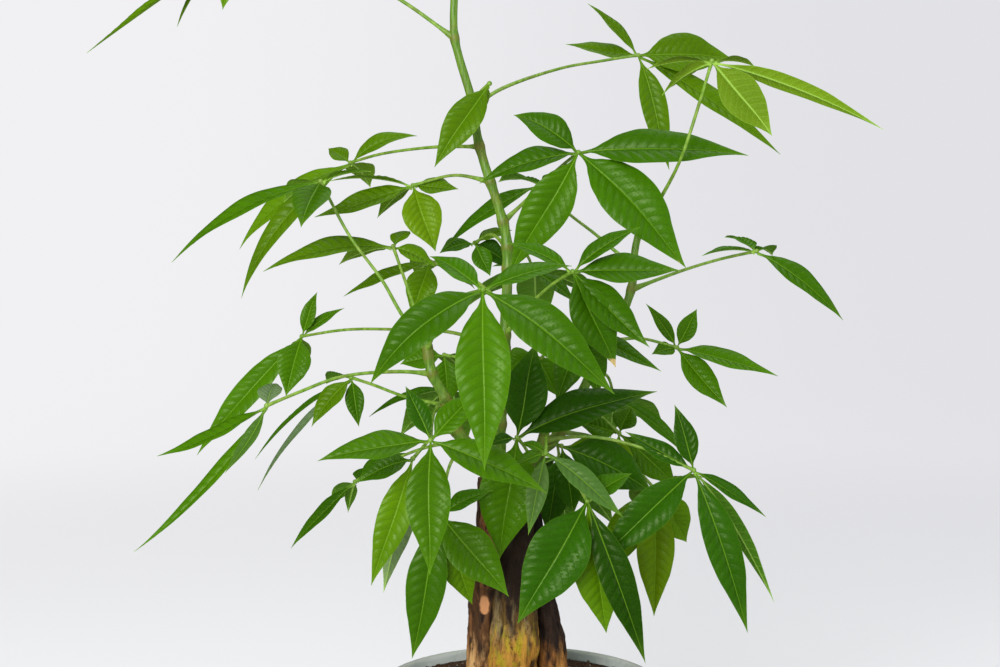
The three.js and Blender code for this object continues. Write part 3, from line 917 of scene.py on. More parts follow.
SHOOT = GreenStem(
    name="green_shoot",
    slot="green_stem",
    green=shown(76, 118, 16),
    pale=shown(108, 146, 34),
    brown=shown(118, 90, 26),
    roughness=0.5,
    grain=(900.0, 900.0, 60.0),
)
FRONT_BARK = Bark(
    name="front_bark",
    slot="bark",
    low=BarkZone(shown(190, 140, 50), shown(142, 94, 30), shown(160, 148, 14), 0.46),
    high=BarkZone(shown(100, 74, 28), shown(64, 44, 18), shown(128, 112, 74), 0.4),
    seam_and_shade=shown(34, 20, 10),
    change_from=0.178,
    change_to=0.2,
    shade_from=0.2,
    shade_to=0.222,
    shift=(0.0, 0.0, 0.0),
)
LEFT_BARK = Bark(
    name="left_bark",
    slot="bark",
    low=BarkZone(shown(182, 136, 80), shown(128, 86, 44), shown(204, 162, 104), 0.38),
    high=BarkZone(shown(96, 62, 30), shown(58, 38, 20), shown(140, 90, 48), 0.3),
    seam_and_shade=shown(30, 18, 11),
    change_from=0.172,
    change_to=0.188,
    shade_from=0.27,
    shade_to=0.32,
    shift=(0.31, 0.12, 0.05),
    peel=Peel((-0.0222, -0.0178, 0.2075), 0.0032, shown(210, 148, 98)),
)
RIGHT_BARK = Bark(
    name="right_bark",
    slot="bark",
    low=BarkZone(shown(158, 104, 46), shown(104, 66, 30), shown(178, 124, 56), 0.4),
    high=BarkZone(shown(58, 40, 28), shown(40, 27, 20), shown(88, 62, 42), 0.22),
    seam_and_shade=shown(24, 14, 10),
    change_from=0.162,
    change_to=0.182,
    shade_from=0.2,
    shade_to=0.235,
    shift=(0.53, 0.71, 0.2),
)
BACK_BARK = Bark(
    name="back_bark",
    slot="bark",
    low=BarkZone(shown(168, 122, 68), shown(122, 84, 44), shown(150, 142, 52), 0.4),
    high=BarkZone(shown(96, 68, 44), shown(60, 42, 28), shown(150, 114, 78), 0.35),
    seam_and_shade=shown(30, 18, 12),
    change_from=0.17,
    change_to=0.19,
    shade_from=0.22,
    shade_to=0.27,
    shift=(0.83, 0.29, 0.4),
)
SAWN = SawnWood(name="sawn_wood", slot="bark", wood=shown(150, 120, 80), ring=shown(88, 62, 38))
GLAZE = Glaze(
    name="pot_glaze",
    slot="glaze",
    pale=shown(180, 187, 181),
    deep=shown(154, 165, 159),
    warm=shown(192, 194, 182),
    clay=shown(186, 160, 128),
    foot=0.0035,
)
SOIL = Soil(
    name="potting_soil",
    slot="soil",
    dark=shown(44, 30, 20),
    brown=shown(92, 66, 44),
    grey=shown(150, 140, 128),
)
SWEEP = PaintedSweep(
    name="studio_paint",
    slot="",
    colour=(0.9, 0.9, 0.905, 1.0),
    far_colour=(0.8, 0.805, 0.82, 1.0),
    screen=shown(241, 240, 243),
    far_screen=shown(226, 226, 230),
    fade=1.2,
    screen_from=0.7,
    screen_to=2.2,
)


def even_route(corners: Sequence[Sequence[float]], spacing: float) -> np.ndarray:
    """Points at even steps along the smooth route through some corners.

    The route is a centripetal Catmull-Rom curve, the one that the solids follow.

    Args:
        corners: The points that the route passes through.
        spacing: About how far apart the new points are.

    Returns:
        The points, one a row.
    """
    knots = np.array(corners, float)
    knots = np.vstack([2 * knots[0] - knots[1], knots, 2 * knots[-1] - knots[-2]])
    fine = []
    for a, b, c, d in zip(knots, knots[1:], knots[2:], knots[3:], strict=False):
        t1 = np.linalg.norm(b - a) ** 0.5
        t2 = t1 + np.linalg.norm(c - b) ** 0.5
        t3 = t2 + np.linalg.norm(d - c) ** 0.5
        t = np.linspace(t1, t2, ROUTE_STEPS, endpoint=False)[:, None]
        ab = (t1 - t) / t1 * a + t / t1 * b
        bc = (t2 - t) / (t2 - t1) * b + (t - t1) / (t2 - t1) * c
        cd = (t3 - t) / (t3 - t2) * c + (t - t2) / (t3 - t2) * d
        abc = (t2 - t) / t2 * ab + t / t2 * bc
        bcd = (t3 - t) / (t3 - t1) * bc + (t - t1) / (t3 - t1) * cd
        fine.append((t2 - t) / (t2 - t1) * abc + (t - t1) / (t2 - t1) * bcd)
    places = np.vstack([*fine, knots[-2]])
    walked = np.concatenate([[0.0], np.cumsum(np.linalg.norm(np.diff(places, axis=0), axis=1))])
    steps = np.linspace(0.0, walked[-1], max(3, round(walked[-1] / spacing) + 1))
    return np.column_stack([np.interp(steps, walked, places[:, axis]) for axis in range(3)])


def line_mesh(name: str, lines: Sequence[Line]) -> bpy.types.Mesh:
    """A mesh of loose lines whose points carry values.

    Args:
        name: The mesh's name.
        lines: For each line its places, one a row, and its other values by name.

    Returns:
        The mesh, with an attribute for each value.
    """
    mesh = bpy.data.meshes.new(name)
    places = np.vstack([line["place"] for line in lines])
    edges, start = [], 0
    for line in lines:
        count = len(line["place"])
        edges += [(start + i, start + i + 1) for i in range(count - 1)]
        start += count
    mesh.from_pydata(places.tolist(), edges, [])
    for label in lines[0]:
        if label == "place":
            continue
        values = np.concatenate([line[label] for line in lines]).astype(np.float32)
        vectors = values.ndim == 2
        kind, key = ("FLOAT_VECTOR", "vector") if vectors else ("FLOAT", "value")
        mesh.attributes.new(label, kind, "POINT").data.foreach_set(key, values.ravel())
    return mesh


def lathe_mesh(name: str, profile: np.ndarray, segments: int) -> bpy.types.Mesh:
    """A closed turned shape about the Z axis.

    Args:
        name: The mesh's name.
        profile: Radius and height of each point, from the axis round to the axis again, with the
            outside on the right hand of the way along it.
        segments: How many steps the turn has.

    Returns:
        The mesh, smooth, with single points at its poles.
    """
    angles = np.arange(segments) * (2 * math.pi / segments)
    ring = list(zip(np.cos(angles), np.sin(angles), strict=True))
    places = [(0.0, 0.0, float(profile[0][1]))]
    for radius, z in profile[1:-1]:
        places += [(float(radius * c), float(radius * s), float(z)) for c, s in ring]
    places.append((0.0, 0.0, float(profile[-1][1])))
    rows = len(profile) - 2
    last = len(places) - 1
    faces = []
    for column in range(segments):
        beside = (column + 1) % segments
        faces.append((0, 1 + beside, 1 + column))
        faces.append((last, last - segments + column, last - segments + beside))
        for row in range(rows - 1):
            a, b = 1 + row * segments + column, 1 + row * segments + beside
            faces.append((a, b, b + segments, a + segments))
    mesh = bpy.data.meshes.new(name)
    mesh.from_pydata(places, [], faces)
    mesh.shade_smooth()
    return mesh


def add_piece(piece: bpy.types.Object, finish: Finish, *nodes: str) -> None:
    """Fixes a finished piece to the plant's body and reports it.

    Args:
        piece: The object, at the origin.
        finish: Its finish; not used.
        *nodes: The CAD nodes that it stands for.
    """
    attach(piece, BODY)
    if nodes:
        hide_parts(*nodes)
    triangles = sum(len(face.vertices) - 2 for face in piece.data.polygons)
    log.info("%s: %d triangles", piece.name, triangles)


class AgeAndLight(Enum):
    """How old and how lit through a leaflet is, which sets its green."""

    OLD = 0.08
    DARK = 0.2
    FULL = 0.38
    FRESH = 0.55
    BRIGHT = 0.72
    YOUNG = 0.88
    # Painted light: the yellow-green glow of a leaflet lit through from behind.
    LIT = 1.0


@dataclass(frozen=True)
class Leaflet:
    """One blade of a leaf, in millimetres.

    x, y and z lead from the hub to its tip, and face is the height angle of its upper side: 0 looks
    to the front, 90 to the sky and 180 to the back. wilt is the share of its tip that has dried, bow
    is how far it arches as a share of its length, and grey is painted sheen: how grey its glossy
    surface looks beside its leaf, as where it reflects a bright window.
    """

    x: float
    y: float
    z: float
    width: float
    face: float
    age: AgeAndLight | None = None
    wilt: float = 0.0
    bow: float = 0.06
    grey: float = 0.0


@dataclass(frozen=True)
class Leaf:
    """A palmate leaf: its stalk's route in millimetres from the shoot's axis to the hub, and its blades."""

    name: str
    shoot: str
    stalk: tuple[Triple, ...]
    leaflets: tuple[Leaflet, ...]
    age: AgeAndLight = AgeAndLight.FULL


LEAVES = (
    Leaf(
        "leaf_front_middle",
        "shoot_left",
        ((-56, -21, 361), (-50, -42, 374), (-36, -85, 395), (-22, -120, 402)),
        (
            Leaflet(-59, -12, -49, 23, 35, bow=0.18),
            Leaflet(1, -22, -93, 29, 30, AgeAndLight.FRESH),
            Leaflet(69, -14, -54, 26, 30, bow=0.09),
            Leaflet(48, 18, 12, 17, 62),
            Leaflet(-29, 22, 17, 16, 62),
        ),
    ),
    Leaf(
        "leaf_front_low",
        "shoot_left",
        ((-45, -21, 331), (-48, -56, 333), (-50, -90, 329), (-50, -116, 321)),
        (
            Leaflet(-14, 12, 28, 12, 40, AgeAndLight.DARK),
            Leaflet(-60, -6, -10, 21, 55, bow=0.04),
            Leaflet(0, -18, -69, 24, 30),
            Leaflet(62, -8, -27, 22, 45),
            Leaflet(25, 14, 24, 16, 40),
        ),
        AgeAndLight.FRESH,
    ),
    Leaf(
        "leaf_low_left_inner",
        "shoot_left",
        ((-39, -20, 313), (-51, -45, 313), (-62, -70, 304)),
        (
            Leaflet(-23, -12, -70, 19, 20, AgeAndLight.BRIGHT),
            Leaflet(-18, 14, -80, 20, 150, AgeAndLight.DARK, grey=0.55),
            Leaflet(-32, -4, -13, 18, 50),
        ),
    ),
    Leaf(
        "leaf_low_left_back",
        "shoot_left",
        ((-30, -17, 300), (-48, 12, 300), (-80, 48, 285), (-107, 70, 267)),
        (
            Leaflet(-43, 5, -45, 13, 62, bow=0.03),
            Leaflet(-6, 14, -23, 8, 100),
            Leaflet(36, 14, 17, 18, 70),
            Leaflet(14, 40, 2, 16, 110),
            Leaflet(-20, 38, -24, 13, 130),
        ),
    ),
    Leaf(
        "leaf_low_left_hanging",
        "shoot_left",
        ((-33, -19, 305), (-42, -44, 296), (-47, -60, 270)),
        (
            Leaflet(39, -14, -44, 26, 25, AgeAndLight.FRESH),
            Leaflet(-17, 8, -86, 23, 10),
            Leaflet(18, 16, -56, 22, 15, AgeAndLight.BRIGHT),
            Leaflet(30, 2, 14, 14, 60),
        ),
    ),
    Leaf(
        "leaf_middle_young",
        "shoot_front",
        ((14, -22, 311), (14, -44, 314), (13, -62, 306)),
        (
            Leaflet(-18, -4, -7, 10, 50),
            Leaflet(-10, -8, -46, 12, 20, grey=0.18),
            Leaflet(44, -6, -36, 14, 40, AgeAndLight.FULL, grey=0.15),
            Leaflet(-14, 8, 5, 8, 60),
        ),
        AgeAndLight.FRESH,
    ),
    Leaf(
        "leaf_middle_dark",
        "shoot_front",
        ((6, -16, 295), (1, -34, 306), (-3, -42, 312)),
        (
            Leaflet(81, 0, 27, 28, 50, AgeAndLight.OLD),
            Leaflet(11, 12, 54, 26, 20),
            Leaflet(-10, -6, -70, 34, 20, AgeAndLight.FRESH),
            Leaflet(-17, -4, -4, 10, 60),
        ),
        AgeAndLight.DARK,
    ),
    Leaf(
        "leaf_low_middle",
        "shoot_front",
        ((10, -19, 301), (24, -42, 296), (37, -60, 278)),
        (
            Leaflet(-40, -16, -67, 34, 20, AgeAndLight.DARK),
            Leaflet(12, 12, -80, 30, 10, AgeAndLight.BRIGHT),
            Leaflet(34, 2, -95, 20, 25, AgeAndLight.OLD),
            Leaflet(26, 12, 14, 16, 60),
        ),
    ),
    Leaf(
        "leaf_low_right",
        "shoot_front",
        ((12, -20, 307), (40, -24, 310), (70, -28, 304), (101, -30, 291)),
        (
            Leaflet(-11, 6, 38, 14, 30),
            Leaflet(-40, 6, 22, 13, 45, bow=0.0),
            Leaflet(-59, -12, -54, 23, 20),
            Leaflet(32, -6, -96, 21, 40),
            Leaflet(44, 6, -29, 13, 60, bow=0.02),
            Leaflet(52, 22, -84, 12, 120),
        ),
        AgeAndLight.DARK,
    ),
    Leaf(
        "leaf_low_right_back",
        "shoot_right",
        ((24, 12, 308), (46, 26, 302), (68, 36, 286), (85, 42, 267)),
        (
            Leaflet(0, 0, -82, 24, 5, AgeAndLight.YOUNG),
            Leaflet(22, 14, -37, 24, 10),
            Leaflet(-36, 10, -58, 24, 20),
            Leaflet(34, 22, 4, 18, 100),
            Leaflet(-8, 46, -24, 22, 140),
        ),
        AgeAndLight.BRIGHT,
    ),
    Leaf(
        "leaf_middle_back",
        "shoot_right",
        ((12, 12, 295), (20, 2, 301), (24, -8, 302)),
        (
            Leaflet(56, 2, -29, 30, 35),
            Leaflet(47, 16, -15, 22, 35, AgeAndLight.BRIGHT),
            Leaflet(8, 10, -44, 18, 10),
        ),
        AgeAndLight.DARK,
    ),
    Leaf(
        "leaf_right_inner",
        "shoot_right",
        ((31, 12, 321), (46, 22, 318), (61, 25, 305)),
        (
            Leaflet(36, 0, -34, 22, 30),
            Leaflet(-28, -4, 8, 16, 35),
            Leaflet(-4, -10, -36, 20, 10, AgeAndLight.YOUNG),
            Leaflet(8, 8, 16, 16, 40),
        ),
        AgeAndLight.FRESH,
    ),
    Leaf(
        "leaf_right_middle",
        "shoot_right",
        ((51, 10, 363), (73, 26, 364), (98, 40, 357)),
        (
            Leaflet(-20, -4, 28, 9, 30),
            Leaflet(13, 6, 24, 12, 10),
            Leaflet(-17, -12, -3, 11, 40),
            Leaflet(31, -6, -37, 18, 30, bow=-0.04),
            Leaflet(64, 2, -18, 18, 55, bow=0.02),
        ),
        AgeAndLight.FRESH,
    ),
    Leaf(
        "leaf_right_end",
        "shoot_right",
        ((67, 11, 395), (97, 14, 406), (121, 18, 413), (144, 20, 418)),
        (
            Leaflet(-36, -20, -2, 13, 85),
            Leaflet(-15, 34, 8, 15, 100),
            Leaflet(53, -4, -42, 17, 50, bow=0.06),
            Leaflet(17, 44, -4, 15, 105),
        ),
    ),
    Leaf(
        "leaf_upper_middle",
        "shoot_centre",
        ((-11, 0, 436), (4, 8, 450), (20, 0, 466), (33, -20, 477)),
        (
            Leaflet(-38, 6, 22, 20, 35, bow=0.13),
            Leaflet(-58, 2, -18, 20, 50, bow=0.07),
            Leaflet(-40, 10, -71, 27, 10, AgeAndLight.FRESH),
            Leaflet(62, -14, -67, 33, 20, None, 0.03),
            Leaflet(98, -10, -2, 26, 36, bow=0.06),
        ),
    ),
    Leaf(
        "leaf_upper_back",
        "shoot_right",
        ((69, 12, 409), (60, 20, 416), (46, 28, 428), (27, 36, 443), (12, 42, 459)),
        (
            Leaflet(-60, 8, -40, 16, 55),
            Leaflet(24, 20, 6, 18, 90),
            Leaflet(12, 56, -20, 22, 120),
            Leaflet(-26, 42, 2, 20, 110),
        ),
    ),
    Leaf(
        "leaf_middle_right",
        "shoot_centre",
        ((-10, 0, 368), (2, -20, 385), (16, -43, 400), (28, -60, 409)),
        (
            Leaflet(38, 4, 25, 14, 60),
            Leaflet(60, -4, 1, 22, 45, bow=0.01),
            Leaflet(43, -10, -42, 22, 45, bow=-0.03),
            Leaflet(25, 4, -55, 24, 15, None, 0.12),
            Leaflet(-37, 6, 16, 14, 60),
        ),
    ),
    Leaf(
        "leaf_middle_inner",
        "shoot_centre",
        ((-12, 0, 330), (8, -10, 352), (24, -13, 366), (36, -15, 374)),
        (
            Leaflet(46, -10, -25, 16, 60, bow=-0.02),
            Leaflet(-16, -12, -44, 20, 20),
            Leaflet(-34, -14, -6, 18, 50),
            Leaflet(10, 4, -42, 18, 20),
        ),
    ),
    Leaf(
        "leaf_centre_back",
        "shoot_centre",
        ((-9, 0, 421), (-18, 28, 428), (-29, 60, 422)),
        (
            Leaflet(24, 14, 8, 13, 65, AgeAndLight.BRIGHT),
            Leaflet(-22, -10, -6, 15, 60),
            Leaflet(10, -4, -21, 13, 25),
            Leaflet(22, 14, -15, 17, 40, AgeAndLight.DARK),
        ),
    ),
    Leaf(
        "leaf_top_right",
        "shoot_right",
        ((72, 11, 431), (82, -16, 451), (90, -44, 472), (95, -50, 488), (108, -40, 528)),
        (
            Leaflet(97, -8, -39, 12, 138, bow=0.06),
            Leaflet(32, -18, -43, 23, 150),
            Leaflet(-30, -14, -20, 15, 120),
            Leaflet(-36, 14, -3, 12, 95),
            Leaflet(28, 22, -1, 12, 100),
        ),
        AgeAndLight.YOUNG,
    ),
    Leaf(
        "leaf_top_right_back",
        "shoot_centre",
        ((-29, 2, 503), (-15, 22, 515), (26, 75, 533), (53, 105, 540), (80, 130, 546)),
        (
            Leaflet(-34, 4, 35, 12, 60, bow=0.04),
            Leaflet(-49, -6, 7, 17, 50, bow=-0.02),
            Leaflet(65, 10, -2, 30, 25),
            Leaflet(21, -4, -77, 18, 30),
            Leaflet(97, 4, -66, 20, 45, bow=0.03),
        ),
        AgeAndLight.BRIGHT,
    ),
    Leaf(
        "leaf_centre_single",
        "shoot_centre",
        ((-30, 2, 508), (-24, -12, 513), (-19, -18, 517)),
        (Leaflet(-32, -10, -49, 20, 20), Leaflet(-14, 26, -30, 13, 90)),
        AgeAndLight.BRIGHT,
    ),
    Leaf(
        "leaf_upper_left_inner",
        "shoot_centre",
        ((-18, 1, 460), (-40, 9, 464), (-66, 20, 458)),
        (
            Leaflet(-60, -2, -19, 20, 55, bow=-0.02),
            Leaflet(-53, 16, 3, 13, 90),
            Leaflet(14, -8, -40, 24, 20, AgeAndLight.YOUNG),
            Leaflet(28, -10, -2, 15, 45, bow=0.0),
            Leaflet(-24, 28, -20, 13, 100),
        ),
        AgeAndLight.BRIGHT,
    ),
    Leaf(
        "leaf_upper_left",
        "shoot_left",
        ((-56, -21, 363), (-70, -22, 381), (-82, -22, 402), (-101, -21, 428), (-118, -20, 460)),
        (
            Leaflet(-87, -6, -47, 18, 62, bow=0.08),
            Leaflet(-7, -40, -26, 22, 50),
            Leaflet(30, -6, 6, 14, 90),
            Leaflet(-26, 34, -12, 18, 110),
        ),
        AgeAndLight.FRESH,
    ),
    Leaf(
        "leaf_upper_left_back",
        "shoot_centre",
        ((-25, 2, 481), (-54, 45, 482), (-90, 90, 479), (-113, 120, 474)),
        (
            Leaflet(45, 0, 18, 15, 50, bow=0.13),
            Leaflet(-16, 12, 10, 13, 40),
            Leaflet(-76, 6, -58, 22, 55, bow=0.1),
            Leaflet(-72, -14, -90, 17, 50, bow=0.15),
            Leaflet(10, 44, -16, 20, 130),
        ),
        AgeAndLight.BRIGHT,
    ),
    Leaf(
        "leaf_left_inner",
        "shoot_left",
        ((-55, -21, 357), (-66, -4, 390), (-78, 16, 421)),
        (
            Leaflet(-79, -4, -15, 21, 60, bow=0.08),
            Leaflet(26, -4, -12, 14, 50),
            Leaflet(9, 22, 9, 12, 80),
            Leaflet(-36, 30, -12, 18, 110),
        ),
        AgeAndLight.BRIGHT,
    ),
    Leaf(
        "leaf_left_inner_back",
        "shoot_centre",
        ((-10, 0, 386), (-32, 28, 402), (-57, 60, 410)),
        (
            Leaflet(-56, 4, -22, 18, 70, bow=0.03),
            Leaflet(-12, -8, -34, 20, 20),
            Leaflet(28, 16, -18, 18, 60),
            Leaflet(-12, 46, -12, 20, 120),
        ),
        AgeAndLight.BRIGHT,
    ),
    Leaf(
        "leaf_left_far",
        "shoot_centre",
        ((-10, 0, 360), (-44, 24, 368), (-82, 46, 368), (-112, 68, 366), (-143, 90, 360)),
        (
            Leaflet(10, 4, 29, 10, 30),
            Leaflet(27, 12, 18, 9, 50),
            Leaflet(-9, -14, -38, 22, 20),
            Leaflet(-69, -6, -78, 19, 35),
            Leaflet(-6, 34, -32, 15, 120),
        ),
        AgeAndLight.FRESH,
    ),
    Leaf(
        "leaf_left_front",
        "shoot_left",
        ((-53, -22, 347), (-72, -29, 349), (-104, -48, 348), (-126, -62, 341), (-144, -70, 334)),
        (
            Leaflet(-63, 4, -29, 18, 72, bow=-0.05),
            Leaflet(-73, -14, -80, 11, 66, bow=-0.07),
            Leaflet(-20, -24, -34, 9, 70, bow=-0.06, grey=0.1),
            Leaflet(2, 26, 10, 14, 110, grey=0.5),
        ),
        AgeAndLight.FRESH,
    ),
    Leaf(
        "leaf_left_middle",
        "shoot_left",
        ((-45, -21, 328), (-72, 10, 330), (-92, 28, 335), (-106, 40, 338)),
        (
            Leaflet(-62, 4, -52, 11, 80),
            Leaflet(-58, -14, -69, 8, 75, AgeAndLight.DARK, grey=0.5),
            Leaflet(-24, -14, -29, 16, 60, AgeAndLight.BRIGHT),
            Leaflet(5, -8, -30, 12, 30),
            Leaflet(-20, 38, -8, 18, 110),
        ),
    ),
    Leaf(
        "leaf_top_left",
        "shoot_centre",
        ((-40, 1, 545), (-73, 0, 568), (-120, 0, 592), (-166, 0, 602)),
        (
            Leaflet(-91, -6, -66, 20, 70, bow=0.0),
            Leaflet(-41, 12, -49, 18, 70),
            Leaflet(-9, -14, -42, 20, 30),
            Leaflet(20, 24, -6, 16, 100),
            Leaflet(-40, 34, -2, 20, 110),
        ),
        AgeAndLight.BRIGHT,
    ),
    Leaf(
        "leaf_crown_right",
        "shoot_centre",
        ((-38, 3, 592), (-12, -14, 612), (20, -26, 624)),
        (
            Leaflet(62, -8, -18, 22, 60),
            Leaflet(36, -44, -20, 22, 70),
            Leaflet(34, 30, 0, 18, 90),
            Leaflet(4, 30, 16, 14, 90),
            Leaflet(-6, -36, -8, 16, 70),
        ),
        AgeAndLight.FRESH,
    ),
    Leaf(
        "leaf_crown_back",
        "shoot_centre",
        ((-36, 4, 608), (-30, 36, 626), (-20, 66, 634)),
        (
            Leaflet(6, 66, -22, 24, 110),
            Leaflet(52, 34, -12, 20, 100),
            Leaflet(-46, 38, -10, 20, 100),
            Leaflet(28, -14, 12, 13, 80),
        ),
        AgeAndLight.FRESH,
    ),
    Leaf(
        "leaf_crown_left",
        "shoot_centre",
        ((-35, 4, 622), (-56, -12, 640), (-78, -26, 646)),
        (
            Leaflet(-66, -12, -22, 22, 70),
            Leaflet(-32, -52, -24, 22, 70),
            Leaflet(-38, 34, -4, 17, 95),
            Leaflet(10, -34, 2, 13, 80),
        ),
        AgeAndLight.BRIGHT,
    ),
    Leaf(
        "leaf_crown_tip",
        "shoot_centre",
        ((-34, 5, 631), (-31, 6, 644), (-29, 6, 655)),
        (
            Leaflet(10, -20, 8, 10, 50),
            Leaflet(26, 8, 4, 10, 80),
            Leaflet(-6, 24, 6, 9, 110),
            Leaflet(-24, 6, 9, 9, 80),
        ),
        AgeAndLight.LIT,
    ),
    Leaf(
        "leaf_back_right",
        "shoot_right",
        ((43, 11, 346), (55, 48, 338), (62, 88, 320)),
        (
            Leaflet(54, 8, -46, 15, 60),
            Leaflet(40, 48, -30, 20, 120),
            Leaflet(2, 62, -36, 24, 140),
            Leaflet(-34, 34, -12, 20, 120),
        ),
    ),
    Leaf(
        "leaf_back_middle",
        "shoot_centre",
        ((-9, 0, 408), (2, 50, 416), (10, 104, 402)),
        (
            Leaflet(4, 66, -44, 26, 140),
            Leaflet(46, 34, -20, 22, 110),
            Leaflet(-46, 36, -26, 22, 110),
            Leaflet(26, -12, -20, 14, 60),
            Leaflet(-28, -8, 4, 14, 80),
        ),
    ),
    Leaf(
        "leaf_back_left",
        "shoot_centre",
        ((-12, 0, 324), (-28, 46, 334), (-46, 92, 326)),
        (
            Leaflet(-36, 50, -40, 24, 130),
            Leaflet(10, 54, -48, 24, 140),
            Leaflet(-54, 6, -20, 18, 80),
            Leaflet(28, 12, -14, 16, 80),
        ),
    ),
    Leaf(
        "leaf_centre_low_back",
        "shoot_centre",
        ((-13, 0, 314), (-4, 20, 332), (9, 40, 354)),
        (
            Leaflet(-18, 4, -12, 18, 25),
            Leaflet(14, 4, -28, 18, 25),
            Leaflet(10, 30, 10, 16, 110),
        ),
        AgeAndLight.FRESH,
    ),
    Leaf(
        "leaf_centre_low_left",
        "shoot_centre",
        ((-12, 0, 342), (-28, 24, 350), (-48, 44, 352)),
        (
            Leaflet(-28, 2, -6, 18, 40),
            Leaflet(2, 2, -32, 20, 15),
            Leaflet(10, 34, -14, 18, 120),
        ),
        AgeAndLight.FRESH,
    ),
    Leaf(
        "leaf_back_low",
        "shoot_right",
        ((18, 12, 301), (22, 46, 300), (26, 84, 282)),
        (
            Leaflet(6, 44, -58, 26, 150),
            Leaflet(38, 26, -52, 26, 150),
            Leaflet(-38, 30, -34, 22, 120),
            Leaflet(-8, -6, -52, 22, 20),
        ),
        AgeAndLight.DARK,
    ),
)


